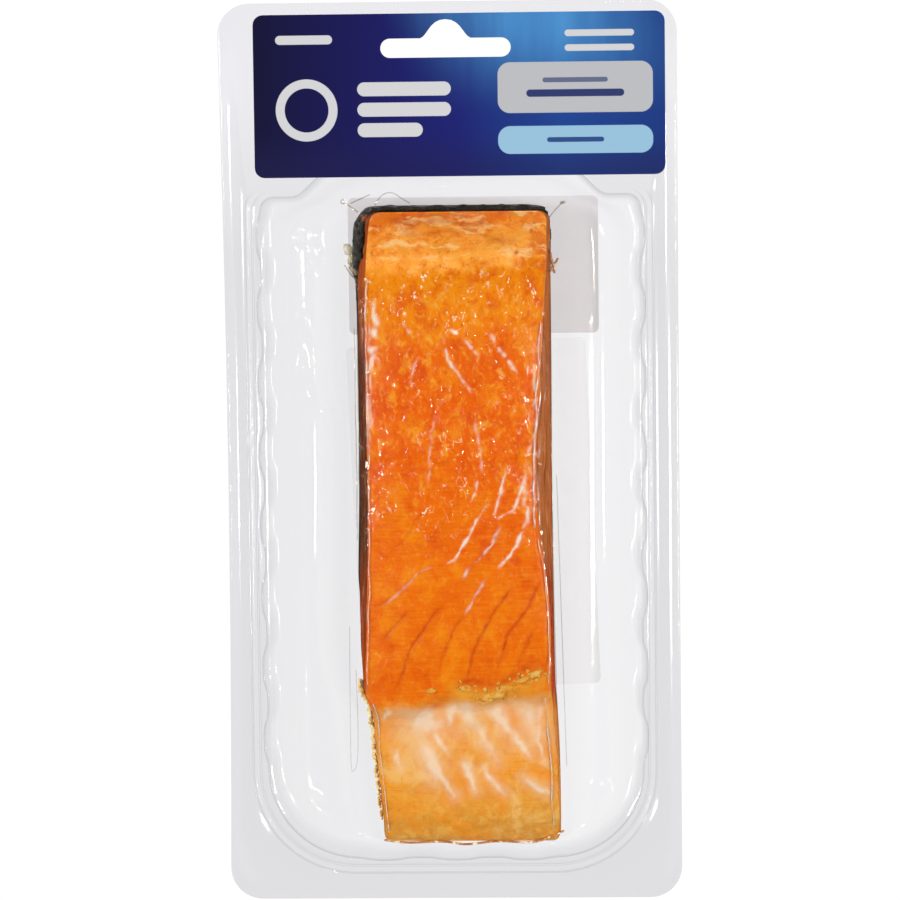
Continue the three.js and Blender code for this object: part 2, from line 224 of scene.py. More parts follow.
def lineAt(x, y, points, reach):
    # distance to a bent line and the share of the way along it, or None when out of reach
    if not (min(p[0] for p in points) - reach < x < max(p[0] for p in points) + reach):
        return None
    if not (min(p[1] for p in points) - reach < y < max(p[1] for p in points) + reach):
        return None
    best = None
    for index in range(len(points) - 1):
        (ax, ay), (bx, by) = points[index], points[index + 1]
        dx, dy = bx - ax, by - ay
        share = min(max(((x - ax) * dx + (y - ay) * dy) / (dx * dx + dy * dy), 0), 1)
        away = math.hypot(x - ax - share * dx, y - ay - share * dy)
        if best is None or away < best[0]:
            best = (away, (index + share) / (len(points) - 1))
    return best if best[0] < reach else None


def paint(colour, light=1.0):
    # the reflectance that shows a colour, as it is read off a screen, in this light
    def linear(value):
        value /= 255
        return value / 12.92 if value <= 0.04045 else ((value + 0.055) / 1.055) ** 2.4
    return tuple(linear(value) / light for value in colour)


def shades(stops, light):
    return [(position, paint(colour, light)) for position, colour in stops]


def newMaterial(name):
    material = bpy.data.materials.new(name)
    material.use_nodes = True
    material.node_tree.nodes.clear()
    return material, material.node_tree


def put(tree, kind, inputs, **settings):
    # a node with its settings, and its inputs linked or set
    node = tree.nodes.new(kind)
    for name, value in settings.items():
        setattr(node, name, value)
    for name, value in inputs.items():
        socket = node.inputs[name]
        if isinstance(value, bpy.types.NodeSocket):
            tree.links.new(value, socket)
        else:
            socket.default_value = (*value, 1) if socket.type == "RGBA" else value
    return node


def objectPlace(tree):
    return put(tree, "ShaderNodeTexCoord", {}).outputs["Object"]


def axesOf(tree, place):
    return put(tree, "ShaderNodeSeparateXYZ", {"Vector": place}).outputs


def stretched(tree, place, scale, turn=0.0):
    settings = {"Vector": place, "Scale": scale, "Rotation": (0, 0, math.radians(turn))}
    return put(tree, "ShaderNodeMapping", settings).outputs["Vector"]


def noiseOf(tree, place, scale, detail=2.0, roughness=0.5, distortion=0.0):
    return put(tree, "ShaderNodeTexNoise", {
        "Vector": place, "Scale": scale, "Detail": detail, "Roughness": roughness,
        "Distortion": distortion,
    }).outputs["Fac"]


def ranged(tree, value, low, high, start=0.0, end=1.0, soft=False):
    return put(tree, "ShaderNodeMapRange", {
        "Value": value, "From Min": low, "From Max": high, "To Min": start, "To Max": end,
    }, interpolation_type="SMOOTHSTEP" if soft else "LINEAR").outputs["Result"]


def sums(tree, operation, a, b=0.0):
    return put(tree, "ShaderNodeMath", {0: a, 1: b}, operation=operation).outputs[0]


def times(tree, a, b):
    return sums(tree, "MULTIPLY", a, b)


def plus(tree, a, b):
    return sums(tree, "ADD", a, b)


def apart(tree, value, middle):
    return sums(tree, "ABSOLUTE", sums(tree, "SUBTRACT", value, middle))


def ramp(tree, value, stops):
    node = put(tree, "ShaderNodeValToRGB", {"Fac": value})
    elements = node.color_ramp.elements
    while len(elements) < len(stops):
        elements.new(0.5)
    for element, (position, colour) in zip(elements, stops):
        element.position = position
        element.color = (*colour, 1)
    return node.outputs["Color"]


def blended(tree, factor, a, b):
    return put(tree, "ShaderNodeMix", {0: factor, 6: a, 7: b}, data_type="RGBA").outputs[2]


def attribute(tree, name):
    return put(tree, "ShaderNodeAttribute", {}, attribute_name=name).outputs["Fac"]


def bumped(tree, height, strength, distance, normal=None):
    inputs = {"Height": height, "Strength": strength, "Distance": distance * mm}
    if normal:
        inputs["Normal"] = normal
    return put(tree, "ShaderNodeBump", inputs).outputs["Normal"]


def shader(tree, kind, inputs):
    return put(tree, kind, inputs).outputs[0]


def mixedShader(tree, share, first, second):
    return shader(tree, "ShaderNodeMixShader", {0: share, 1: first, 2: second})


def surfaceOf(tree, inputs):
    return shader(tree, "ShaderNodeBsdfPrincipled", inputs)


def shown(tree, surface):
    put(tree, "ShaderNodeOutputMaterial", {"Surface": surface})


# The clear sheets' tint low down, at the left, at the flange, at the header, seen edge on and
# where they are bent (painted shade, a thin grey line), their gloss, how much of it shows, and
# their wrinkles as scale and depth
clearTray = {
    "low": (0.955, 0.956, 0.96), "left": (0.93, 0.93, 0.935), "high": (0.885, 0.884, 0.892),
    "head": (0.94, 0.937, 0.95), "edge": (0.84, 0.843, 0.85), "bent": (0.72, 0.725, 0.735),
    "shine": (1, 1, 1), "gloss": 0.09, "faceOn": 0.018, "edgeOn": 0.06,
    "coarse": (55, 0.05), "fine": (300, 0.008),
}
clearFilm = {
    "low": (0.985, 0.984, 0.987), "left": (0.985, 0.984, 0.987), "high": (0.98, 0.979, 0.982),
    "head": (0.98, 0.979, 0.982), "edge": (0.93, 0.93, 0.935), "bent": (0.93, 0.93, 0.935),
    "shine": (1.0, 0.9, 0.72), "gloss": 0.055, "faceOn": 0.019, "edgeOn": 0.008,
    "coarse": (190, 0.05), "fine": (700, 0.02),
}
shrunkFilm = {
    **clearFilm,
    "creases": {"scale": 260, "width": 0.1, "depth": 0.13},
    "puckers": {"scale": 520, "depth": 0.14},
    # painted glints: short white strokes along some creases, as the shrunk film's highlights
    "glintStrokes": {
        "scale": 520, "width": 0.022, "parts": 430, "from": 0.55, "to": 0.62, "cover": 1.1,
        "colour": (0.86, 0.68, 0.48),
    },
}
# where the tints change, and how steeply those seen edge on and the gloss come in
clearZones = {
    "leftToRight": (-0.03, 0.03), "lowToHigh": (0.004, 0.0125), "toHead": (0.05, 0.09),
    "edgePower": 2.5, "glossPower": 5, "lean": 28,
}


def clearMaterial(name, clear):
    # see-through sheet: what is behind it, tinted a little, under a wrinkled gloss
    material, tree = newMaterial(name)
    zones = clearZones
    place = objectPlace(tree)
    x, y, z = axesOf(tree, place)
    scale, depth = clear["coarse"]
    normal = bumped(tree, noiseOf(tree, place, scale, 2.0, 0.5, 0.6), 1.0, depth)
    scale, depth = clear["fine"]
    fine = noiseOf(tree, stretched(tree, place, (1, 0.45, 1), 20), scale)
    normal = bumped(tree, fine, 1.0, depth, normal)
    if "creases" in clear:
        # sharp little creases and puckers where the film is shrunk onto the fish
        creases, puckers = clear["creases"], clear["puckers"]
        crinkled = attribute(tree, "crinkle")
        leaning = stretched(tree, place, (1, 0.5, 1), zones["lean"])
        bend = noiseOf(tree, leaning, creases["scale"], 2.0, 0.5, 0.5)
        crest = ranged(tree, apart(tree, bend, 0.5), 0, creases["width"], 1, 0, True)
        normal = bumped(tree, times(tree, crest, crinkled), 1.0, creases["depth"], normal)
        pucker = times(tree, noiseOf(tree, place, puckers["scale"]), crinkled)
        normal = bumped(tree, pucker, 1.0, puckers["depth"], normal)
    tint = blended(tree, ranged(tree, x, *zones["leftToRight"]), clear["left"], clear["low"])
    tint = blended(tree, ranged(tree, z, *zones["lowToHigh"]), tint, clear["high"])
    tint = blended(tree, ranged(tree, y, *zones["toHead"]), tint, clear["head"])
    slope = put(tree, "ShaderNodeLayerWeight", {"Blend": 0.5}).outputs["Facing"]
    tint = blended(tree, sums(tree, "POWER", slope, zones["edgePower"]), tint, clear["edge"])
    # painted shade: a thin grey line where the sheet is bent
    tint = blended(tree, attribute(tree, "bent"), tint, clear["bent"])
    behind = shader(tree, "ShaderNodeBsdfTransparent", {"Color": tint})
    gloss = shader(tree, "ShaderNodeBsdfGlossy", {
        "Color": clear["shine"], "Normal": normal, "Roughness": clear["gloss"],
    })
    # a little gloss face on, more edge on
    facing = put(tree, "ShaderNodeLayerWeight", {"Blend": 0.5, "Normal": normal}).outputs["Facing"]
    edge = times(tree, sums(tree, "POWER", facing, zones["glossPower"]), clear["edgeOn"])
    surface = mixedShader(tree, plus(tree, edge, clear["faceOn"]), behind, gloss)
    if "glintStrokes" in clear:
        # painted glints: short white strokes along some of the creases, where the shrunk film
        # catches the light
        glintStrokes = clear["glintStrokes"]
        leaning = stretched(tree, place, (1, 0.6, 1), zones["lean"])
        bend = noiseOf(tree, leaning, glintStrokes["scale"], 2.0, 0.5, 0.4)
        line = ranged(tree, apart(tree, bend, 0.5), glintStrokes["width"], 0.0, 0, 1, True)
        speckle = noiseOf(tree, place, glintStrokes["parts"])
        parts = ranged(tree, speckle, glintStrokes["from"], glintStrokes["to"], 0, 1, True)
        strength = times(tree, crinkled, times(tree, crinkled, glintStrokes["cover"]))
        white = shader(tree, "ShaderNodeBsdfDiffuse", {"Color": glintStrokes["colour"]})
        cover = times(tree, times(tree, line, parts), strength)
        surface = mixedShader(tree, cover, surface, white)
    # the gloss is left out where it doesn't show, on the sheet's inner side and in the light that
    # falls through it, which makes the render much quicker
    path = put(tree, "ShaderNodeLightPath", {}).outputs
    inner = put(tree, "ShaderNodeNewGeometry", {}).outputs["Backfacing"]
    unseen = sums(tree, "MAXIMUM", path["Is Shadow Ray"], path["Is Diffuse Ray"])
    shown(tree, mixedShader(tree, sums(tree, "MAXIMUM", inner, unseen), surface, behind))
    return material


# Outlines of the pack, as in the solids
pack = {
    "width": 113, "length": 223, "corner": 8, "waistLeft": 1.1, "waistRight": 0.1, "flange": 13.0,
}
pocket = {
    "middle": 0.35, "halfWidth": 47, "bottom": -101.3, "shoulder": 63.6, "top": 71,
    "stepFrom": 39, "stepTo": 28, "cornerBottom": 22, "cornerTop": 3,
}
scallop = {"pitch": 17.9, "crest": 54, "side": 0.6, "end": 0.35, "sharpness": 1.6}


def waist(y, side):
    return pack[side] * (1 - (2 * y / pack["length"]) ** 2)


def wave(along, reach):
    turn = math.cos(2 * math.pi * (along - scallop["crest"]) / scallop["pitch"])
    return reach * math.tanh(scallop["sharpness"] * turn)


def pocketTop(x):
    rise = smooth(-abs(x - pocket["middle"]), -pocket["stepFrom"], -pocket["stepTo"])
    return mix(pocket["shoulder"], pocket["top"], rise)


packEdges = {
    "left": lambda y: -pack["width"] / 2 + waist(y, "waistLeft"),
    "right": lambda y: pack["width"] / 2 - waist(y, "waistRight"),
    "bottom": lambda x: -pack["length"] / 2,
    "top": lambda x: pack["length"] / 2,
    "cornerBottom": pack["corner"], "cornerTop": pack["corner"],
}
pocketEdges = {
    "left": lambda y: pocket["middle"] - pocket["halfWidth"] - wave(y, scallop["side"]),
    "right": lambda y: pocket["middle"] + pocket["halfWidth"] + wave(y, scallop["side"]),
    "bottom": lambda x: pocket["bottom"] - wave(x, scallop["end"]),
    "top": pocketTop,
    "cornerBottom": pocket["cornerBottom"], "cornerTop": pocket["cornerTop"],
}

tray = {
    "sheet": 0.5, "beadHalfWidth": 49.4, "beadBottom": -104.2, "beadCorner": 24.4,
    "beadTop": 64, "beadDepth": 0.9, "beadFade": 1.6, "beadOver": 2.3,
    # the bead's section from its outer shoulder to its inner one, as steps out, shares of depth
    # and how sharp the bend is, which is painted as a thin grey line of painted shade
    "beadSection": [
        (0.95, 0, 0), (0.78, 0.2, 1), (0.6, 0.55, 0), (0.4, 0.85, 0), (0, 1, 0), (-0.4, 0.85, 0),
        (-0.56, 0.55, 0), (-0.72, 0.2, 1), (-0.88, 0, 0),
    ],
    # the pocket's wall from its rim to its floor, as steps out from its edge, heights and bends,
    # the bends painted as thin grey lines of painted shade
    "wall": [
        (0.42, 13.0, 0), (0.26, 12.99, 0.2), (0.1, 12.92, 1), (0, 12.6, 0.25), (-0.15, 11.6, 0),
        (-0.45, 8.5, 0), (-0.75, 5.2, 0), (-1.0, 2.6, 0), (-1.3, 1.6, 0.1), (-1.9, 1.12, 0),
        (-2.8, 1.0, 0), (-5, 1.0, 0),
    ],
    "counts": {"end": 96, "side": 210, "corner": 12},
}
hangHole = {
    "middle": -0.2, "along": 100.15, "halfWidth": 16, "halfHeight": 2.35, "rise": 6.95,
    "foot": 6.2, "flank": 4.3, "flankRise": 0.6, "shoulder": 3.9, "steps": 16, "levels": (8, 18),
}


def holeOutline():
    hole = hangHole
    half, high, steps = hole["halfWidth"] - hole["halfHeight"], hole["halfHeight"], hole["steps"]
    points = []
    for step in range(steps + 1):
        angle = math.radians(-90 + 180 * step / steps)
        points.append((half + high * math.cos(angle), high * math.sin(angle)))
    curve = [
        (hole["foot"], high), (hole["flank"], high + hole["flankRise"]),
        (hole["shoulder"], hole["rise"]), (0, hole["rise"]),
    ]
    for step in range(steps):
        t = step / steps
        weights = ((1 - t) ** 3, 3 * t * (1 - t) ** 2, 3 * t * t * (1 - t), t ** 3)
        points.append(tuple(sum(w * p[axis] for w, p in zip(weights, curve)) for axis in (0, 1)))
    points += [(0, hole["rise"])] + [(-x, y) for x, y in reversed(points)]
    return [(hole["middle"] + x, hole["along"] + y) for x, y in points]


def holeCutter():
    bm = bmesh.new()
    places = holeOutline()
    low, high = hangHole["levels"]
    order, edges = startRing(bm, [(x, y, low) for x, y in places])
    bmesh.ops.contextual_create(bm, geom=edges)
    edges = nextRing(bm, order, edges, [(x, y, high) for x, y in places])
    bmesh.ops.contextual_create(bm, geom=edges)
    bmesh.ops.recalc_face_normals(bm, faces=bm.faces)
    return meshObject("holeCutter", bm, rounded=False)


def pastBead(y):
    return smooth(y, tray["beadTop"] - tray["beadFade"], tray["beadTop"] + tray["beadFade"])


def trayPiece(cutter):
    counts = tray["counts"]
    beadEdges = {
        "left": lambda y: -tray["beadHalfWidth"],
        "right": lambda y: tray["beadHalfWidth"],
        "bottom": lambda x: tray["beadBottom"],
        "top": lambda x: pocketTop(x) + tray["beadOver"],
        "cornerBottom": tray["beadCorner"],
        "cornerTop": pocket["cornerTop"] + tray["beadOver"],
    }

    def beadHeight(y, share):
        return pack["flange"] - tray["beadDepth"] * share * (1 - pastBead(y))

    # each ring with how sharp its bend is, for its painted grey line, and 1 where the bend ends
    # with the bead
    rings = [([(x, y, pack["flange"]) for x, y in outline(packEdges, counts)], 0, 0)]
    for out, share, bend in tray["beadSection"]:
        ring = outline(grown(beadEdges, out), counts)
        rings.append(([(x, y, beadHeight(y, share)) for x, y in ring], bend, 1))
    for out, height, bend in tray["wall"]:
        ring = outline(grown(pocketEdges, out), counts)
        rings.append(([(x, y, height) for x, y in ring], bend, 0))
    bm = bmesh.new()
    bent = bm.verts.layers.float.new("bent")
    order, edges = startRing(bm, rings[0][0])
    for ring, bend, ending in rings[1:]:
        edges = nextRing(bm, order, edges, ring)
        for vert in {vert for edge in edges for vert in edge.verts}:
            vert[bent] = bend * (1 - ending * pastBead(vert.co.y / mm))
    bmesh.ops.contextual_create(bm, geom=edges)
    plastic = clearMaterial("clearTrayPlastic", clearTray)
    sheetPiece("packTray", bm, plastic, "clear_tray", tray["sheet"], cutter)


cutter = holeCutter()
trayPiece(cutter)

fillet = {
    "top": 59.6, "bottom": -97.4, "topLean": -0.35, "bottomLean": -0.3,
    "cornerBottom": 1.6, "cornerTop": 2.2, "under": 2.4, "crownRise": 0.055, "ridgeInset": 22,
    "along": [-99, -90, -75, -64, -59, -36, -10, 20, 38, 48, 56, 62],
    "left": [-18.2, -18.6, -20, -21, -22.9, -23.8, -23.3, -23.2, -23.3, -23.4, -23.2, -22.6],
    "right": [26.2, 26.3, 26.1, 25.6, 25.2, 24.9, 24.8, 24.9, 24.9, 24.9, 24.9, 24.6],
    "leftLean": [0.6, 0.6, 0.8, 1, 1.6, 3.2, 3.2, 3, 3, 3.4, 3.7, 3.8],
    "rightLean": [0.4, 0.4, 0.6, 0.8, 0.8, 0.8, 3.8, 2.6, 1.4, 0.8, 0.8, 0.8],
    "thick": [7.5, 11.6, 14.6, 16.4, 20, 22.5, 23.5, 24, 23, 19.8, 14.2, 9],
    # the step to the thin end lies further up on the right and wanders a little
    "stepFrom": (-74, -64), "stepTo": (-52, -44), "stepSlant": 0.07, "stepWander": 1.3,
    # the wall from the edge of the top face down to the base, as shares of lean and of thickness
    "wall": [
        (0.97, 0.915), (0.92, 0.885), (0.84, 0.84), (0.74, 0.78), (0.62, 0.7), (0.5, 0.6),
        (0.38, 0.48), (0.28, 0.36), (0.18, 0.24), (0.1, 0.12), (0, 0),
    ],
    "wallUneven": 0.35, "across": 120, "lengthwise": 380, "groove": 0.16,
    "swell": 0.3, "swellNoise": (11, 1, 3), "lumps": 0.55, "lumpsNoise": (5.5, 2, 2),
    "lumpsFrom": (-62, -57), "rimU": 0.06, "rimV": 0.02, "rimFall": 0.5,
}
seam = {"along": -0.5, "depth": 0.3, "halfWidth": 0.8, "sway": [(0.4, 9, 5)]}
# how the flake lines wander, fade at their ends, and are broken and uneven
flake = {
    "sway": [(0.5, 5, 3), (0.25, 1.6, 8)], "reach": 3, "fadeIn": (-0.05, 0.15),
    "fadeOut": (0.85, 1.05), "broad": 1.5, "thin": (0.75, 0.7, 2.2, 9),
    "broken": (0.7, 1.1, 1.9, 19), "whiten": 1.3, "darken": (0.45, 0.5),
    "uneven": (0.72, 0.5, 2.5, 10), "paleRise": 0.4,
}
# where each line runs on the top face, its half width, how pale it is (painted glints, the
# white highlights of the film's creases along it) and how dark it is
flakeLines = [
    ([(13.9, -2.3), (12.3, -8.0), (10.8, -14.8)], 0.45, 1.0, 0),
    ([(7.2, -5.2), (6.4, -8.2), (5.2, -10.9)], 0.3, 0.6, 0),
    ([(9.4, -11.4), (6.6, -15.1), (4.4, -19.7), (0.9, -24.9), (-0.9, -25.8)], 0.35, 0.9, 0),
    ([(18.7, -4.8), (15.5, -12.7), (11.8, -14.8)], 0.35, 0.8, 0),
    ([(12.5, -16.8), (9.7, -21.7), (5.5, -26.1), (2.8, -29.8)], 0.4, 0.6, 0.8),
    ([(19.4, -14.2), (16.8, -20.1), (14.6, -24.0), (11.4, -26.9)], 0.38, 1.0, 0),
    ([(8.4, -29.6), (6.2, -33.6), (3.4, -38.5)], 0.35, 0.5, 0.6),
    ([(21.9, -30.5), (19.9, -34.9), (16.6, -40.1), (13.4, -44.2), (11.1, -52.9)], 0.4, 0, 1.0),
    ([(15.8, -30.7), (11.0, -37.8), (8.3, -41.7), (5.3, -48.2), (3.2, -55.6)], 0.38, 0, 1.0),
    ([(3.4, -38.5), (0.4, -42.4), (-1.1, -46.1), (-3.1, -52.0)], 0.35, 0, 0.75),
    ([(-2.2, -36.2), (-4.4, -38.4), (-8.2, -43.9), (-10.7, -48.1), (-14.0, -57.7)], 0.4, 0, 1.0),
    ([(-10.8, -37.6), (-13.6, -40.8), (-17.1, -45.3)], 0.45, 0, 0.8),
    ([(-14.5, -34.4), (-19.2, -36.8)], 0.4, 0, 0.6),
    ([(-4.6, -26.6), (-8.4, -28.2), (-12.2, -32.6), (-16.6, -36.0)], 0.35, 0.3, 0.6),
    ([(-5.2, -11.4), (-9.8, -17.6), (-15.4, -23.9)], 0.35, 0, 0.45),
    ([(2.6, -9.6), (-1.8, -15.8), (-6.6, -21.4)], 0.35, 0, 0.4),
    ([(20.6, -42.2), (17.8, -47.4), (16.0, -53.0)], 0.4, 0, 0.6),
    ([(-1.4, 29.2), (0.0, 24.3), (3.3, 19.8), (6.0, 16.4)], 0.35, 0.9, 0),
    ([(10.3, 30.8), (12.7, 26.8), (15.3, 23.2), (16.8, 20.7)], 0.35, 0.9, 0),
    ([(0.1, 32.1), (3.0, 30.6), (5.4, 27.6), (7.6, 25.4)], 0.35, 0.8, 0),
    ([(-11.4, 34.1), (-9.2, 30.7)], 0.35, 0.7, 0),
    ([(-7.3, 25.1), (-9.1, 19.5), (-8.7, 17.7)], 0.35, 0.6, 0),
    ([(-2.0, 14.5), (-4.2, 6.5), (-5.2, -6.0)], 0.4, 0.45, 0),
    ([(6.2, 12.0), (7.2, 4.0), (8.4, -4.0)], 0.4, 0.4, 0),
    ([(-18.1, 39.1), (-17.7, 34.2), (-18.3, 29.3), (-18.9, 22)], 0.8, 0.9, 0),
    ([(18.7, -2.8), (18.4, -11.4), (19.4, -12.2), (18.6, -16.9)], 0.55, 1.0, 0),
    ([(-19.4, 35), (-19.2, 18), (-19.5, 2)], 0.3, 0.6, 0),
    ([(21.0, 28.2), (21.1, 12.8), (21.5, 9.9), (20.8, 6.2), (19.3, 0.8)], 0.35, 0.8, 0),
    # the brown along the step down to the thin end is painted shade
    ([(0, -56.4), (5, -55.2), (11, -56.6), (16, -53.6), (20.5, -50.6)], 0.9, 0, 0.8),
    ([(-16, 58.6), (-9, 57.2), (-3, 58.2), (4, 56.8), (12, 57.6)], 0.8, 0, 0.75),
    ([(-12, 55.6), (-7, 54.6), (0, 55.6), (5, 54.4)], 0.5, 0, 0.6),
    ([(1, 56.8), (7, 55.2), (12, 53.2), (17, 52.6)], 0.55, 0, 0.6),
    ([(16.3, 50.2), (17.1, 49.8)], 0.6, 0, 0.9),
    ([(20.0, 55.4), (20.7, 55.2)], 0.3, 0, 1.2),
]
# how the whitish fat of the thin end begins, wanders, fades and lightens what is round it
paleFat = {
    "begins": (-62.8, -59.4), "slant": -0.09, "wander": [(1.6, 6, 29)],
    "swayX": [(0.6, 3, 14), (0.3, 1, 16)], "swayY": [(0.6, 3, 15)], "reach": 5, "point": 0.55,
    "fadeIn": (-0.1, 0.25), "fadeOut": (0.7, 1), "fade": 0.5, "uneven": (0.7, 0.45, 2.6, 18),
    "haloWide": 2.2, "haloUneven": (0.8, 0.5, 4, 27), "white": 0.85, "halo": 0.4,
}
# its streaks, which run out to a point, and its round patches: where each runs, how wide it is
# and how white
fatStreaks = [
    ([(-4.6, -68.6), (-3.4, -71.8), (-1.4, -74.4)], 0.8, 1),
    ([(-6.2, -75.4), (-3.2, -80.2), (-0.3, -85.4)], 1.1, 1),
    ([(-7.6, -72.4), (-5.4, -76.6), (-4.2, -80.6)], 1.9, 1),
    ([(2.4, -76.4), (4.0, -80.4), (5.6, -84.4)], 0.8, 1),
    ([(7.6, -78.6), (9.8, -82.0), (12.2, -84.8)], 0.9, 1),
    ([(14.8, -68.4), (16.4, -72.0), (18.4, -74.8)], 0.9, 1),
    ([(17.4, -80.8), (20.4, -83.2), (23.2, -84.6)], 1.0, 1),
    ([(-14.8, -74.2), (-13.4, -77.8)], 0.7, 1),
    ([(0.8, -60.8), (-0.6, -63.6), (-1.2, -66.8)], 1.7, 1),
    ([(9.6, -61.8), (12.2, -66.2), (15.0, -70.4)], 2.0, 1),
    ([(4.4, -64.6), (7.6, -70.6), (10.6, -76.4)], 1.2, 0.4),
    ([(-17.6, -60.6), (-15.8, -62.8), (-17.2, -65.2)], 0.6, 1),
    ([(21.4, -62.6), (20.8, -70.4), (22.6, -76.6)], 0.7, 1),
    ([(-9.0, -64.8), (-7.6, -65.6), (-6.0, -66.2), (-4.4, -66.8)], 3.8, 1.6),
    ([(1.6, -61.2), (3.4, -63.4), (4.4, -66.0)], 2.6, 1.1),
    ([(17.6, -61.8), (19.6, -66.4), (20.8, -71.0)], 2.4, 0.8),
]
# where the juice that set on the step has coloured the flesh
amber = {
    "run": [(1.5, -58.0), (9, -59.6), (15, -57.4), (21.5, -54.4)], "wide": 2.2, "deep": 0.75,
    "swayX": [(1.2, 4, 23)], "swayY": [(1.2, 4, 24)],
}


def stationed(name):
    # one value of the fillet's stations, smoothly along its length
    places, values = fillet["along"], fillet[name]
    slopes = []
    for index in range(len(places)):
        before, after = max(index - 1, 0), min(index + 1, len(places) - 1)
        slopes.append((values[after] - values[before]) / (places[after] - places[before]))

    def value(y):
        y = min(max(y, places[0]), places[-1])
        index = max(i for i in range(len(places) - 1) if places[i] <= y)
        step = places[index + 1] - places[index]
        t = (y - places[index]) / step
        return (
            (2 * t ** 3 - 3 * t * t + 1) * values[index]
            + (t ** 3 - 2 * t * t + t) * step * slopes[index]
            + (3 * t * t - 2 * t ** 3) * values[index + 1]
            + (t ** 3 - t * t) * step * slopes[index + 1]
        )
    return value


baseLeft, baseRight = stationed("left"), stationed("right")
leanLeft, leanRight = stationed("leftLean"), stationed("rightLean")
evenThickness = stationed("thick")


def thickness(y, x=None):
    if x is not None:
        near = smooth(y, *fillet["stepFrom"]) * (1 - smooth(y, *fillet["stepTo"]))
        y -= near * (fillet["stepSlant"] * (x - 1) + fillet["stepWander"] * rough(x, 0, 8, 31))
    return evenThickness(y)


def filletEdges(rise):
    return {
        "left": lambda y: baseLeft(y) + rise * leanLeft(y),
        "right": lambda y: baseRight(y) - rise * leanRight(y),
        "bottom": lambda x: fillet["bottom"] + rise * fillet["bottomLean"],
        "top": lambda x: fillet["top"] - rise * fillet["topLean"],
        "cornerBottom": fillet["cornerBottom"],
        "cornerTop": fillet["cornerTop"],
    }


def crownAt(x, y):
    # how far a point of the top face is from its edge towards its ridge, as a height share
    left, right = baseLeft(y) + leanLeft(y), baseRight(y) - leanRight(y)
    across = 1 - abs(2 * (x - left) / (right - left) - 1)
    ends = min(fillet["top"] - y, y - fillet["bottom"]) / fillet["ridgeInset"]
    share = min(max(min(across, ends), 0), 1)
    return 1 - fillet["crownRise"] * (1 - share) ** 3


def markAt(x, y):
    # how pale (painted glints) and how dark the flake lines are at a point, and how deep
    pale = dark = depth = 0
    x += swayed(x, y, flake["sway"])
    soft, sharp = flake["darken"]
    for run, wide, paleness, darkness in flakeLines:
        near = lineAt(x, y, run, flake["reach"] * wide)
        if near:
            away, share = near
            ends = smooth(share, *flake["fadeIn"]) * (1 - smooth(share, *flake["fadeOut"]))
            broad = bell(away, flake["broad"] * wide) * ends
            thin = bell(away, wide * patchy(x, y, *flake["thin"])) * ends
            broken = min(max(patchy(x, y, *flake["broken"]), 0), 1)
            pale = max(pale, min(flake["whiten"] * thin * paleness * broken, 1))
            uneven = patchy(x, y, *flake["uneven"])
            dark = max(dark, (soft * broad + sharp * thin) * darkness * uneven)
            depth = max(depth, thin * (darkness - flake["paleRise"] * paleness))
    return pale, dark, depth


def fatAt(x, y):
    # how white the fat is at a point of the thin end: each streak is soft and has a wide, weak halo
    white = halo = 0
    slanted = y + paleFat["slant"] * x + swayed(x, 0, paleFat["wander"])
    begins = 1 - smooth(slanted, *paleFat["begins"])
    if begins > 0:
        x += swayed(x, y, paleFat["swayX"])
        y += swayed(x, y, paleFat["swayY"])
        for run, wide, whiteness in fatStreaks:
            near = lineAt(x, y, run, paleFat["reach"] * wide)
            if near:
                away, share = near
                ends = smooth(share, *paleFat["fadeIn"])
                ends *= 1 - paleFat["fade"] * smooth(share, *paleFat["fadeOut"])
                strength = ends * whiteness * patchy(x, y, *paleFat["uneven"])
                white = max(white, bell(away, wide * (1 - paleFat["point"] * share)) * strength)
                glow = bell(away, paleFat["haloWide"] * wide)
                halo = max(halo, glow * patchy(x, y, *paleFat["haloUneven"]))
    return begins * min(paleFat["white"] * white + paleFat["halo"] * halo, 1)


def amberAt(x, y):
    shaken = (x + swayed(x, y, amber["swayX"]), y + swayed(x, y, amber["swayY"]))
    near = lineAt(*shaken, amber["run"], 3 * amber["wide"])
    return amber["deep"] * bell(near[0], amber["wide"]) if near else 0


def reliefAt(x, y, depth):
    away = y - seam["along"] - swayed(x, 0, seam["sway"])
    lumpy = fillet["lumps"] * (1 - smooth(y, *fillet["lumpsFrom"]))
    lift = -seam["depth"] * bell(away, seam["halfWidth"]) - fillet["groove"] * depth
    lift += fillet["swell"] * rough(x, y, *fillet["swellNoise"])
    return lift + lumpy * rough(x * 0.8 + y * 0.35, y * 0.6 - x * 0.3, *fillet["lumpsNoise"])


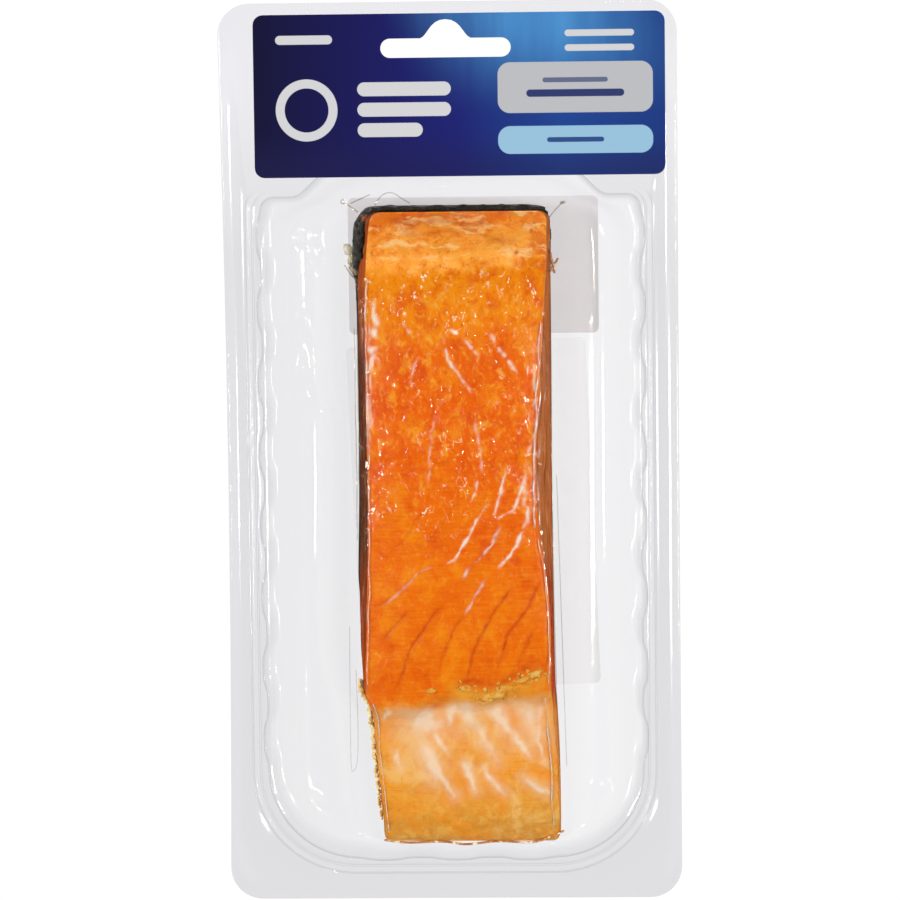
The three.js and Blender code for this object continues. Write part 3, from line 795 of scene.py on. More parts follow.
def fleshPiece(topMaterial, wallMaterial):
    bm = bmesh.new()
    across, lengthwise = fillet["across"], fillet["lengthwise"]
    bmesh.ops.create_grid(bm, x_segments=across, y_segments=lengthwise, size=1)
    names = ("glintLine", "darkLine", "fat", "amber", "wall", "spotU", "spotV")
    pale, dark, fat, stain, wall, spotU, spotV = (bm.verts.layers.float.new(n) for n in names)
    topEdges = filletEdges(1)
    for vert in bm.verts:
        u, v = vert.co.x, vert.co.y
        x, y = fitted(u, v, topEdges)
        vert[spotU], vert[spotV] = u, v
        # the pale of the lines is painted glints of the film's creases
        vert[pale], vert[dark], depth = markAt(x, y)
        vert[fat] = fatAt(x, y)
        vert[stain] = amberAt(x, y)
        rim = smooth(1 - abs(u), 0, fillet["rimU"]) * smooth(1 - abs(v), 0, fillet["rimV"])
        z = fillet["under"] + crownAt(x, y) * thickness(y, x) + reliefAt(x, y, depth) * rim
        z -= fillet["rimFall"] * (1 - rim) ** 2
        vert.co = Vector((x, y, z)) * mm
    edges = [edge for edge in bm.edges if edge.is_boundary]
    for rise, height in fillet["wall"]:
        levelEdges = filletEdges(rise)
        verts, edges = extruded(bm, edges)
        for vert in verts:
            x, y = fitted(vert[spotU], vert[spotV], levelEdges)
            uneven = fillet["wallUneven"] * rough(x + y, 10 * height, 4, 4)
            uneven *= math.sin(math.pi * min(height, 0.9))
            x += uneven * (1 if vert[spotU] > 0 else -1) * (abs(vert[spotU]) > 0.99)
            vert.co = Vector((x, y, fillet["under"] + height * thickness(y, x))) * mm
            vert[wall] = 1 - height * 0.9
            vert[pale] = vert[dark] = vert[fat] = vert[stain] = 0
    bmesh.ops.contextual_create(bm, geom=edges)
    bmesh.ops.recalc_face_normals(bm, faces=bm.faces)
    for face in bm.faces:
        face.material_index = int(min(vert[wall] for vert in face.verts) > 0)
    tree = BVHTree.FromBMesh(bm)
    placed("salmonFlesh", bm, [topMaterial, wallMaterial], "salmon_flesh")
    return tree


fleshLook = {
    # the light that its colours are read in, and a lower one for the top slope, which turns from
    # the
    # lamps: its colours are painted lighter there, painted light that makes up for the shade
    "light": 1.44, "slopeLight": 0.74 * 1.44,
    "shake": 240, "shakeReach": 0.004, "ragged": 110, "raggedReach": 0.016, "slant": -0.09,
    "from": -0.0974, "to": 0.0596,
    "stops": [
        (0.0, (232, 164, 70)), (0.05, (240, 170, 64)), (0.1, (255, 168, 48)),
        (0.225, (255, 166, 52)), (0.25, (246, 114, 4)), (0.45, (248, 114, 3)),
        (0.6, (246, 106, 3)), (0.7, (246, 102, 2)), (0.8, (246, 108, 2)), (0.835, (252, 140, 6)),
        (0.905, (255, 146, 8)),
    ],
    # the top slope's colours, painted lighter than the rest: painted light against its shade
    "slopeStops": [(0.922, (250, 166, 64)), (0.97, (248, 158, 58)), (0.992, (232, 112, 20))],
    # zones along the fillet, each where it starts and is full, and what is there outside it
    "zones": {
        "nearlyAll": [(-0.06, -0.056, 0.3)], "middle": [(-0.06, -0.054, 0)],
        "upper": [(-0.02, 0.004, 0.25), (0.046, 0.036, 0.3)], "fibrous": [(0.004, -0.012, 0.25)],
        "speckled": [(-0.03, 0.008, 0.4)], "lastBit": [(-0.084, -0.09, 0)],
        "slope": [(0.046, 0.05, 0)],
    },
    "thinEnd": (0.245, 0.21),
    # textures: whether shaken, stretch, turn, scale, detail, roughness and distortion
    "textures": {
        "clouds": (True, (1, 0.7, 1), -20, 130, 4.0, 0.6, 0),
        "marbling": (True, (1, 0.55, 1), 24, 330, 5.0, 0.65, 0),
        "fibres": (False, (0.1, 1, 1), 3, 1700, 3.0, 0.6, 0),
        "speckle": (True, (1, 0.6, 1), 20, 800, 4.0, 0.7, 0),
        "blotch": (False, (1, 0.6, 1), 30, 120, 4.0, 0.6, 0.8),
        "spots": (True, (1, 1, 1), 0, 330, 4.0, 0.6, 0),
        "grain": (True, (0.35, 1, 1), -8, 380, 5.0, 0.65, 0),
    },
    # patches: texture, where it starts and is full, strength, zone and colour
    "patches": [
        ("clouds", 0.5, 0.68, 0.75, "nearlyAll", (255, 146, 12)),
        ("clouds", 0.47, 0.34, 0.6, "middle", (230, 76, 4)),
        ("marbling", 0.52, 0.66, 0.7, "upper", (255, 166, 40)),
        ("marbling", 0.46, 0.34, 0.5, "upper", (222, 72, 4)),
        ("fibres", 0.48, 0.75, 0.4, "fibrous", (255, 150, 24)),
        ("fibres", 0.5, 0.28, 0.28, "fibrous", (214, 78, 6)),
        # the pale specks are partly flecks of fat and partly painted glints of the film
        ("speckle", 0.54, 0.7, 0.6, "speckled", (255, 188, 72)),
        ("speckle", 0.46, 0.32, 0.5, "speckled", (214, 78, 4)),
        ("blotch", 0.52, 0.38, 0.6, "thinEnd", (252, 150, 36)),
        ("blotch", 0.5, 0.68, 0.7, "thinEnd", (255, 202, 116)),
        ("spots", 0.55, 0.68, 0.4, "thinEnd", (230, 144, 36)),
        ("spots", 0.52, 0.64, 0.3, "lastBit", (218, 142, 36)),
        ("spots", 0.48, 0.36, 0.5, "lastBit", (252, 196, 92)),
        # the top slope's pale and dark grain, painted lighter in the same way
        ("grain", 0.5, 0.64, 0.7, "slope", (250, 202, 130)),
        ("grain", 0.46, 0.34, 0.6, "slope", (234, 118, 26)),
    ],
    # what the mesh carries: its name, its full value and strength there, and its colour
    "marks": [
        ("fat", 0.9, 0.95, (255, 222, 186)), ("amber", 1, 1, (240, 164, 48)),
        # glintLine: painted glints, the white highlights of the film's creases along the flake
        # lines
        ("darkLine", 1, 1, (204, 64, 8)), ("glintLine", 1, 1, (255, 234, 212)),
    ],
    "marblingDepth": 0.3, "grainScale": 900, "grainDepth": 0.2,
    "finish": {
        "Roughness": 0.3, "Subsurface Weight": 0.1, "Subsurface Radius": (1.0, 0.35, 0.12),
        "Subsurface Scale": 0.0012, "Specular IOR Level": 0.08,
    },
}


def fleshMaterial():
    material, tree = newMaterial("smokedFlesh")
    look, light = fleshLook, fleshLook["light"]
    place = objectPlace(tree)
    x, y, z = axesOf(tree, place)
    cloudy = {"Vector": place, "Scale": look["shake"], "Detail": 3.0}
    shake = put(tree, "ShaderNodeTexNoise", cloudy).outputs["Color"]
    shaken = put(tree, "ShaderNodeVectorMath", {
        0: shake, 1: [look["shakeReach"]] * 3, 2: place,
    }, operation="MULTIPLY_ADD").outputs[0]
    ragged = sums(tree, "SUBTRACT", noiseOf(tree, place, look["ragged"], 5.0, 0.65), 0.5)
    along = plus(tree, y, times(tree, ragged, look["raggedReach"]))
    along = plus(tree, along, times(tree, x, look["slant"]))
    along = ranged(tree, along, look["from"], look["to"])
    stops = shades(look["stops"], light) + shades(look["slopeStops"], look["slopeLight"])
    colour = ramp(tree, along, stops)

    def zoneOf(spans):
        strength = None
        for start, full, outside in spans:
            part = ranged(tree, y, start, full, outside, 1, True)
            strength = times(tree, strength, part) if strength else part
        return strength

    def textureOf(isShaken, stretch, turn, *settings):
        stretchedPlace = stretched(tree, shaken if isShaken else place, stretch, turn)
        return noiseOf(tree, stretchedPlace, *settings)

    zones = {name: zoneOf(spans) for name, spans in look["zones"].items()}
    zones["thinEnd"] = ranged(tree, along, *look["thinEnd"], 0, 1, True)
    textures = {name: textureOf(*settings) for name, settings in look["textures"].items()}
    for texture, start, full, strength, zone, shade in look["patches"]:
        patches = ranged(tree, textures[texture], start, full, 0, strength, True)
        # on the top slope the patches are painted lighter too, as painted light
        shade = paint(shade, look["slopeLight"] if zone == "slope" else light)
        colour = blended(tree, times(tree, patches, zones[zone]), colour, shade)
    for name, full, strength, shade in look["marks"]:
        marked = ranged(tree, attribute(tree, name), 0, full, 0, strength)
        colour = blended(tree, marked, colour, paint(shade, light))
    marbled = times(tree, textures["marbling"], zones["upper"])
    normal = bumped(tree, marbled, 1.0, look["marblingDepth"])
    grain = noiseOf(tree, place, look["grainScale"], 3.0, 0.6)
    normal = bumped(tree, grain, 0.8, look["grainDepth"], normal)
    shown(tree, surfaceOf(tree, {"Base Color": colour, "Normal": normal, **look["finish"]}))
    return material


# walls browned by the smoke, nearly black at the upper left and golden at the upper right
wallLook = {
    "light": 1.1, "from": -0.0974, "to": 0.0596, "ragged": 90, "raggedReach": 0.01,
    "left": [
        (0.0, (214, 136, 54)), (0.24, (206, 112, 44)), (0.28, (186, 78, 20)),
        (0.4, (146, 54, 16)), (0.52, (84, 38, 16)), (0.8, (98, 40, 14)), (0.92, (170, 76, 30)),
    ],
    "right": [
        (0.0, (214, 136, 54)), (0.24, (214, 128, 50)), (0.28, (178, 62, 26)),
        (0.44, (150, 52, 18)), (0.5, (176, 96, 42)), (0.8, (174, 92, 40)), (1.0, (190, 104, 44)),
    ],
    "middle": (0.0, 0.002), "streaks": 420,
    "darkStreaks": (0.46, 0.7, 0.65, (70, 40, 26)),
    "paleStreaks": (0.44, 0.3, 0.4, (214, 150, 96)),
    "streakBump": (0.7, 0.2), "finish": {"Roughness": 0.5, "Specular IOR Level": 0.0},
}


def wallMaterial():
    material, tree = newMaterial("brownedWall")
    look, light = wallLook, wallLook["light"]
    place = objectPlace(tree)
    x, y, z = axesOf(tree, place)
    ragged = times(tree, noiseOf(tree, place, look["ragged"], 3.0), look["raggedReach"])
    along = ranged(tree, plus(tree, y, ragged), look["from"], look["to"])
    left, right = (ramp(tree, along, shades(look[side], light)) for side in ("left", "right"))
    colour = blended(tree, ranged(tree, x, *look["middle"]), left, right)
    streaks = noiseOf(tree, stretched(tree, place, (1, 0.25, 1)), look["streaks"], 3.0, 0.6)
    for start, full, strength, shade in (look["darkStreaks"], look["paleStreaks"]):
        streaked = ranged(tree, streaks, start, full, 0, strength, True)
        colour = blended(tree, streaked, colour, paint(shade, light))
    normal = bumped(tree, streaks, *look["streakBump"])
    shown(tree, surfaceOf(tree, {"Base Color": colour, "Normal": normal, **look["finish"]}))
    return material


fleshTree = fleshPiece(fleshMaterial(), wallMaterial())

skin = {
    "under": 1.2, "sheet": 1.0, "voxel": 0.5, "wavy": 0.9, "ragged": 0.5, "torn": 1.3,
    "tornFrom": (44, 48), "tornWaves": [(0.8, 2.0, 13), (0.5, 0.9, 33)], "lipFrom": (1.3, 5),
    "lipLow": 1.6, "lipSide": 2.4, "lipEnd": 4, "sideFrom": (25, 50), "endFrom": (50, 58),
    # on the upper left the lip stands up along the flesh's wall, nearly to its top face
    "climbFrom": (44, 49), "climbTo": 0.88, "climbIn": 0.78, "climbReach": 1.5,
    # a thin band at the top end that runs out to a point at each corner
    "end": 59.8, "endSqueeze": 0.3, "cornerOut": (19.5, 25), "cornerUp": (56.5, 60.5),
    "cornerIn": 0.7, "cornerRaise": 0.5,
    # the right side pushed in and lowered, and the left side thinner further down
    "rightIn": 1.1, "rightFrom": (23.5, 25), "rightLow": 3.2, "leftIn": (0.9, 0.5),
    "leftFrom": (22, 23.5),
    "light": 1.6, "mottle": 420, "scales": 700.0, "scaleBump": (0.6, 0.15),
    "finish": {"Roughness": 0.4, "Specular IOR Level": 0.06},
    "stops": [(0.3, (16, 16, 13)), (0.55, (40, 38, 30)), (0.75, (84, 80, 60))],
}


def skinMaterial():
    material, tree = newMaterial("darkFishSkin")
    place = objectPlace(tree)
    mottle = noiseOf(tree, place, skin["mottle"], 4.0, 0.6)
    settings = {"Vector": place, "Scale": skin["scales"]}
    scales = put(tree, "ShaderNodeTexVoronoi", settings).outputs["Distance"]
    colour = ramp(tree, mottle, shades(skin["stops"], skin["light"]))
    normal = bumped(tree, scales, *skin["scaleBump"])
    shown(tree, surfaceOf(tree, {"Base Color": colour, "Normal": normal, **skin["finish"]}))
    return material


def lipTop(y):
    # the height of the solid's lip above its underside, on the upper left
    side, end = smooth(y, *skin["sideFrom"]), smooth(y, *skin["endFrom"])
    return skin["lipLow"] + skin["lipSide"] * side + skin["lipEnd"] * end


def climbed(place):
    # a point of the solid, raised along the flesh's wall on the upper left
    x, y, z = place / mm
    raised = (z - skin["under"] - skin["sheet"]) / (lipTop(y) - skin["sheet"])
    climb = smooth(y, *skin["climbFrom"]) * min(max(raised, 0), 1)
    if climb > 0 and x < baseLeft(y) + skin["climbReach"]:
        z = mix(z, skin["under"] + skin["climbTo"] * thickness(y), climb)
        x += climb * skin["climbIn"] * leanLeft(y)
        return Vector((x, y, z)) * mm
    return place


def torn(place):
    # a point of the skin, squeezed at the end and the sides, and its lip torn unevenly
    x, y, z = place / mm
    lip = smooth(z, *(skin["under"] + rise for rise in skin["lipFrom"]))
    corner = smooth(abs(x - 1), *skin["cornerOut"]) * smooth(y, *skin["cornerUp"])
    y -= skin["endSqueeze"] * max(y - skin["end"], 0) * (1 - corner)
    x += skin["cornerIn"] * corner if x < 0 else 0
    x -= skin["rightIn"] * smooth(x, *skin["rightFrom"]) * smooth(y, 30, 40)
    z -= smooth(x, 23, 24.5) * (1 - smooth(y, 51, 55)) * max(z - skin["rightLow"], 0)
    y += skin["cornerRaise"] * corner
    upper, lower = skin["leftIn"]
    pushed = upper * (1 - smooth(y, 41, 47)) + lower * (1 - smooth(y, -40, -30))
    x += smooth(-x, *skin["leftFrom"]) * pushed
    if lip > 0:
        z += lip * skin["wavy"] * rough(x * 0.5, y, 2.2, 11)
        y += lip * skin["ragged"] * rough(x, z, 3, 12)
        reach = mix(skin["ragged"], skin["torn"], smooth(y, *skin["tornFrom"]))
        x += lip * reach * swayed(y, z, skin["tornWaves"])
    return Vector((x, y, z)) * mm


def skinPiece(material):
    bm = mergedCopy("salmon_skin")
    for vert in bm.verts:
        vert.co = climbed(vert.co)
    piece = placed("salmonSkin", bm, [material], "salmon_skin")
    remesh = piece.modifiers.new("even", "REMESH")
    remesh.mode = "VOXEL"
    remesh.voxel_size = skin["voxel"] * mm
    settled(piece)
    bm = bmesh.new()
    bm.from_mesh(piece.data)
    for vert in bm.verts:
        vert.co = torn(vert.co)
    tree = BVHTree.FromBMesh(bm)
    bm.to_mesh(piece.data)
    bm.free()
    piece.data.polygons.foreach_set("use_smooth", [True] * len(piece.data.polygons))
    reported(piece)
    return tree


skinTree = skinPiece(skinMaterial())

# Curds of cooked juice, on the step to the thin end and along its left edge
curds = {
    # where each is, its half sizes and its turn
    "spots": [
        ((10.6, -58.6), (3.0, 1.5, 0.5), 8), ((8.0, -59.6), (2.0, 1.0, 0.4), -20),
        ((12.8, -57.6), (1.8, 1.0, 0.4), 30), ((17.2, -55.2), (2.2, 0.8, 0.4), 18),
        ((20.4, -53.7), (1.9, 0.9, 0.4), 32), ((3.4, -57.1), (1.3, 1.0, 0.4), 0),
        ((-5.2, -57.7), (1.3, 0.8, 0.35), 0),
    ],
    # loose crumbs round those, then the fringe down the left edge of the thin end
    "loose": 60, "looseSpots": 6, "looseSize": (0.25, 0.6), "looseSpread": (2.25, 0.75),
    "looseIn": 1.5, "crumbs": 170, "crumbsFrom": -57.5, "crumbsTo": -92,
    "crumbSize": (0.3, 0.7), "crumbHeight": (6, 10.5), "crumbOut": (-0.9, 0.3),
    "crumbStray": 0.5, "crumbUneven": (0.6, 0.6, 5, 40), "crumbLarge": 1.3, "crumbShrink": 0.6,
    "light": 1.6, "grain": 700, "grainBump": (0.6, 0.15),
    "finish": {"Roughness": 0.4, "Specular IOR Level": 0.2},
    "stops": [(0.3, (238, 142, 30)), (0.5, (246, 176, 62)), (0.72, (252, 210, 116))],
    # olive-yellow in the fringe, beyond the edge of the flesh's top face, painted lighter than the
    # other curds: painted light against the shade at the foot of the wall
    "fringe": [(230, 196, 112), (254, 242, 186)], "fringeFrom": (-0.0185, -0.0195),
}


def addLump(bm, x, y, z, size, turn, seed):
    verts = bmesh.ops.create_icosphere(bm, subdivisions=2, radius=1)["verts"]
    for vert in verts:
        lumpy = 1 + 0.35 * noise.fractal(vert.co * 1.7 + Vector((seed, 0, 0)), 1.0, 2.0, 3)
        vert.co = Vector(a * b for a, b in zip(vert.co, size)) * lumpy
    bmesh.ops.rotate(bm, verts=verts, matrix=Matrix.Rotation(math.radians(turn), 3, "Z"))
    bmesh.ops.scale(bm, verts=verts, vec=(mm, mm, mm))
    bmesh.ops.translate(bm, verts=verts, vec=Vector((x, y, z)) * mm)


def curdMaterial():
    material, tree = newMaterial("yellowCurd")
    place = objectPlace(tree)
    x, y, z = axesOf(tree, place)
    grain = noiseOf(tree, place, curds["grain"], 3.0)
    colour = ramp(tree, grain, shades(curds["stops"], curds["light"]))
    # the fringe's colours are painted without the curds' light, so lighter: painted light against
    # its shade
    olive = blended(tree, ranged(tree, grain, 0.35, 0.65), *map(paint, curds["fringe"]))
    colour = blended(tree, ranged(tree, x, *curds["fringeFrom"]), colour, olive)
    normal = bumped(tree, grain, *curds["grainBump"])
    shown(tree, surfaceOf(tree, {"Base Color": colour, "Normal": normal, **curds["finish"]}))
    return material


def curdPiece():
    random.seed(5)
    bm = bmesh.new()
    for seed, ((x, y), size, turn) in enumerate(curds["spots"]):
        addLump(bm, x, y, heightOn(fleshTree, x, y), size, turn, seed)
    for seed in range(curds["loose"]):
        x, y = curds["spots"][seed % curds["looseSpots"]][0]
        x += random.gauss(0, curds["looseSpread"][0])
        y += random.gauss(0, curds["looseSpread"][1])
        x = min(x, baseRight(y) - curds["looseIn"])
        size = [random.uniform(*curds["looseSize"]) for axis in range(3)]
        z = heightOn(fleshTree, x, y) - 0.1
        addLump(bm, x, y, z, size, random.uniform(0, 180), seed + 20)
    for seed in range(curds["crumbs"]):
        share = seed / curds["crumbs"]
        y = mix(curds["crumbsFrom"], curds["crumbsTo"], share)
        y += random.uniform(-curds["crumbStray"], curds["crumbStray"])
        larger = curds["crumbLarge"] - curds["crumbShrink"] * share
        size = [random.uniform(*curds["crumbSize"]) * larger for axis in range(3)]
        out = random.uniform(*curds["crumbOut"]) * patchy(0, y, *curds["crumbUneven"])
        z = random.uniform(*curds["crumbHeight"])
        addLump(bm, baseLeft(y) + out, y, z, size, random.uniform(0, 180), seed + 80)
    tree = BVHTree.FromBMesh(bm)
    placed("curds", bm, [curdMaterial()])
    return tree


curdTree = curdPiece()

film = {
    "cling": 0.35, "clingBelow": 2.0, "thickness": 0.12, "across": 142, "lengthwise": 280,
    "level": 13.6, "smoothings": 5, "holeRoom": 20,
    # where it is finely creased: in from the fillet's sides, weaker below and at the top end,
    # stronger near that, in patches
    "crinkleIn": (-1, 3), "crinkleLeast": 0.3, "crinkleFrom": (-34, -12),
    "crinkleFades": (46, 50), "crinkleMore": 0.5, "crinkleMost": (28, 36),
    "crinklePatches": (0.55, 0.45, 9, 17), "crinkleEnds": (-97.5, 61),
    # folds and puckers that stand up out of the film: where they run, their width and height
    "ridges": [
        ([(-33.8, 57.6), (-34.4, 53.5), (-33.6, 50), (-31.0, 46.4)], 1.1, 1.1),
        ([(-38.6, 54.6), (-36.6, 51.8)], 1.0, 0.7),
        ([(-37.1, 35.8), (-36.2, 31.5), (-36.4, 28.3)], 0.9, 0.7),
        ([(-37.4, 27), (-37.0, 16), (-35.0, 11.5), (-33.6, 8)], 1.0, 0.8),
        ([(-31.3, 22.0), (-30.4, 14), (-29.0, 8.3)], 0.9, 0.7),
        ([(-28.6, 40), (-28.0, 24), (-28.4, 6)], 0.8, 0.4),
        ([(-37.8, -86.6), (-34, -89.4), (-28.4, -90.9)], 1.0, 0.9),
        ([(34.9, -83.6), (37, -86), (38.6, -89.1)], 1.4, 0.7),
    ],
}


def crinkleAt(x, y):
    # how finely the film is creased, most of all over the upper half of the fillet
    left, right, (outer, inner) = baseLeft(y), baseRight(y), film["crinkleIn"]
    low, high = film["crinkleEnds"]
    inside = smooth(x, left + outer, left + inner) * (1 - smooth(x, right - inner, right - outer))
    lengthwise = mix(film["crinkleLeast"], 1.0, smooth(y, *film["crinkleFrom"]))
    lengthwise *= mix(film["crinkleLeast"], 1.0, 1 - smooth(y, *film["crinkleFades"]))
    lengthwise *= 1 + film["crinkleMore"] * smooth(y, *film["crinkleMost"])
    return inside * lengthwise * patchy(x, y, *film["crinklePatches"]) * (low < y < high)


def filmPiece(cutter):
    cadFilm = mergedCopy("skin_film")
    cadTree = BVHTree.FromBMesh(cadFilm)
    cadFilm.free()
    bm = bmesh.new()
    across, lengthwise = film["across"], film["lengthwise"]
    bmesh.ops.create_grid(bm, x_segments=across, y_segments=lengthwise, size=1)
    least = {}
    crinkle = bm.verts.layers.float.new("crinkle")
    for vert in bm.verts:
        x, y = fitted(vert.co.x, vert.co.y, packEdges)
        vert[crinkle] = crinkleAt(x, y)
        z = heightOn(cadTree, x, y)
        fromHole = math.hypot(x - hangHole["middle"], y - hangHole["along"])
        if z is None or fromHole < film["holeRoom"]:
            z = film["level"]
        below = [heightOn(tree, x, y) for tree in (fleshTree, skinTree, curdTree)]
        below = [height for height in below if height is not None]
        least[vert] = max(below) + film["cling"] if below else 0
        if below and z - least[vert] < film["clingBelow"]:
            z = least[vert]
        vert.co = Vector((x, y, max(z, least[vert]))) * mm
    inner = [vert for vert in bm.verts if not vert.is_boundary]
    for step in range(film["smoothings"]):
        bmesh.ops.smooth_vert(bm, verts=inner, factor=0.5, use_axis_z=True)
        for vert in bm.verts:
            vert.co.z = max(vert.co.z, least[vert] * mm)
    for vert in bm.verts:
        x, y, z = vert.co / mm
        for run, wide, high in film["ridges"]:
            near = lineAt(x, y, run, 3 * wide)
            if near:
                away, share = near
                ends = smooth(share, 0, 0.2) * (1 - smooth(share, 0.8, 1))
                vert.co.z += high * ends * bell(away, wide) * mm
    tree = BVHTree.FromBMesh(bm)
    plastic = clearMaterial("clearSkinFilm", shrunkFilm)
    sheetPiece("skinFilm", bm, plastic, "skin_film", film["thickness"], cutter)
    return tree


filmTree = filmPiece(cutter)
bpy.data.objects.remove(cutter)


def onFilm(points, above):
    return [(x, y, heightOn(filmTree, x, y) + above) for x, y in points]


def threadPiece(name, runs, material):
    # thin round threads along smooth lines, each run as points and a radius
    curve = bpy.data.curves.new(name, "CURVE")
    curve.dimensions = "3D"
    curve.bevel_depth = mm
    curve.bevel_resolution = 2
    curve.use_fill_caps = True
    for points, radius in runs:
        line = curve.splines.new("NURBS")
        line.points.add(len(points) - 1)
        line.order_u = min(4, len(points))
        line.use_endpoint_u = True
        line.resolution_u = 8
        for point, place in zip(line.points, points):
            point.co = (*(Vector(place) * mm), 1)
            point.radius = radius
    drawn = bpy.data.objects.new(name + "Curve", curve)
    bpy.context.scene.collection.objects.link(drawn)
    graph = bpy.context.evaluated_depsgraph_get()
    bm = bmesh.new()
    bm.from_mesh(bpy.data.meshes.new_from_object(drawn.evaluated_get(graph)))
    bpy.data.objects.remove(drawn)
    placed(name, bm, [material])


def wobbled(middle, start, end, steps, reach, seed):
    # a line along the pack from start to end that wanders a little about its middle
    ys = [mix(start, end, step / steps) for step in range(steps + 1)]
    return [(middle(y) + reach * rough(0, y, 6, seed), y) for y in ys]


folds = {
    "above": 0.05,
    "runs": [
        ([(22.7, 31.3), (24.2, 28.8), (24.5, 23.9), (23.6, 13.5)], 0.14),
        ([(24.9, 52.5), (24.8, 27.8), (24.9, -4.6), (25.4, -57.4), (26.2, -77.6)], 0.13),
        ([(26.1, -5.0), (26.9, -37.8), (27.9, -78.3)], 0.1),
        ([(-25.6, -42.5), (-26.3, -62.8), (-26.7, -82.6), (-25.8, -80.4), (-24.5, -79.6),
          (-24.2, -67.9), (-23.9, -52.6)], 0.11),
        (wobbled(lambda y: -22.3, 34, -6, 16, 0.25, 21), 0.14),
        (wobbled(lambda y: -23.0, 32, -20, 16, 0.25, 22), 0.12),
    ],
    "look": {
        **clearFilm, "low": (0.9, 0.885, 0.87), "left": (0.9, 0.885, 0.87),
        "high": (0.86, 0.83, 0.8), "faceOn": 0.06, "edgeOn": 0.2,
    },
}
strands = {
    "thicker": 1.3,
    "runs": [
        ([(-25.6, 63.2, 13.6), (-26.6, 63.3, 13.9), (-26.6, 62.3, 13.8),
          (-25.6, 62.2, 13.7)], 0.22),
        ([(-25.6, 62.6, 13.7), (-24.1, 61.4, 13.9), (-22.3, 60.3, 14.2),
          (-20.1, 58.4, 14.6)], 0.16),
        ([(-24.1, 62.2, 13.7), (-21.9, 63.3, 14.2), (-19.2, 64.4, 14.2)], 0.13),
        ([(-18.1, 61.7, 13.8), (-16.9, 64.0, 14.2), (-15.0, 65.1, 14.4), (-12.8, 64.7, 14.3),
          (-11.3, 63.2, 14.1), (-9.4, 62.2, 13.8)], 0.12),
        ([(24.5, 57.9, 14.0), (26.4, 60.5, 14.2), (28.2, 62.0, 13.8)], 0.13),
        ([(27.6, 61.8, 13.8), (28.3, 62.2, 13.9), (28.7, 61.9, 13.8)], 0.3),
        ([(-25.9, 47.0, 11.5), (-23.7, 43.6, 12.5), (-22.2, 42.9, 13.5), (-21.2, 44.0, 14.5),
          (-22.9, 45.9, 13), (-24.8, 47.4, 12)], 0.16),
        ([(-24.9, 46.6, 12), (-23.2, 44.6, 13), (-22.6, 41.0, 13.6)], 0.14),
        ([(-24.2, 50.4, 12.4), (-23.4, 48.6, 12.9), (-24.6, 46.2, 12.2)], 0.2),
        ([(25.2, 48.4, 12), (26.0, 46.6, 12.2), (25.4, 45.0, 12)], 0.2),
    ],
    "look": {
        **clearFilm, "low": (0.8, 0.78, 0.72), "left": (0.8, 0.78, 0.72),
        "high": (0.8, 0.78, 0.72), "faceOn": 0.12, "edgeOn": 0.5,
    },
}
filmFold = clearMaterial("filmFold", folds["look"])
filmThread = clearMaterial("filmThread", strands["look"])
foldRuns = [(onFilm(points, folds["above"]), radius) for points, radius in folds["runs"]]
threadPiece("filmFolds", foldRuns, filmFold)
strandRuns = [(points, strands["thicker"] * radius) for points, radius in strands["runs"]]
threadPiece("filmStrands", strandRuns, filmThread)


def leftCrease(y):
    return baseLeft(y) + leanLeft(y) + 0.3


def rightCrease(y):
    return baseRight(y) - leanRight(y) - 0.4


# white creases along the edges of the top face, where the film lifts off the flesh, their white a
# painted highlight: the side, a step out of it, from where to where, steps, reach, seed and radius
creases = [
    (leftCrease, 0, 44, 20, 24, 0.5, 31, 0.16), (leftCrease, 0, 22, -2, 24, 0.4, 32, 0.13),
    (leftCrease, 0, -3, -56, 40, 0.35, 33, 0.12), (rightCrease, 0, 33, 6, 26, 0.5, 34, 0.2),
    (rightCrease, 0, 7, -17, 24, 0.6, 35, 0.24), (rightCrease, 0, -20, -56, 30, 0.35, 36, 0.14),
    (rightCrease, -1.2, -60, -94, 26, 0.5, 37, 0.16),
    (leftCrease, 0.8, -61, -95, 26, 0.4, 38, 0.13),
]


def creaseRun(side, out, start, end, steps, reach, seed, radius):
    points = wobbled(lambda y: side(y) + out, start, end, steps, reach, seed)
    return onFilm(points, 0.02), radius


# film that shows pale in broken lines; on the creases the white is a painted highlight
milky = {
    "stretch": (1, 0.6, 1), "scale": 420, "from": 0.42, "to": 0.62, "most": 0.8, "light": 1.3,
    "behind": (0.97, 0.96, 0.94), "gloss": 0.2,
}


def milkyMaterial(name, colour, coverLow):
    material, tree = newMaterial(name)
    place = stretched(tree, objectPlace(tree), milky["stretch"])
    broken = noiseOf(tree, place, milky["scale"], 3.0, 0.7)
    behind = shader(tree, "ShaderNodeBsdfTransparent", {"Color": milky["behind"]})
    settings = {"Base Color": paint(colour, milky["light"]), "Roughness": milky["gloss"]}
    cover = ranged(tree, broken, milky["from"], milky["to"], coverLow, milky["most"])
    shown(tree, mixedShader(tree, cover, behind, surfaceOf(tree, settings)))
    return material


creaseHighlight = milkyMaterial("creaseHighlight", (236, 214, 200), 0.12)
threadPiece("filmCreases", [creaseRun(*crease) for crease in creases], creaseHighlight)

# the film's crumpled bit beside the upper left corner, yellow with juice
crumple = [
    ((-24.9, 50.8, 12.4), (1.2, 1.6, 0.5), 20), ((-24.2, 48.4, 12.2), (0.8, 1.5, 0.4), -15),
    ((-23.6, 45.6, 12.4), (0.6, 1.3, 0.4), 35),
]


def crumplePiece():
    bm = bmesh.new()
    for seed, (place, size, turn) in enumerate(crumple):
        addLump(bm, *place, size, turn, seed + 300)
    yellow = milkyMaterial("yellowCrumple", (226, 214, 168), 0.15)
    placed("filmCrumple", bm, [yellow])


crumplePiece()

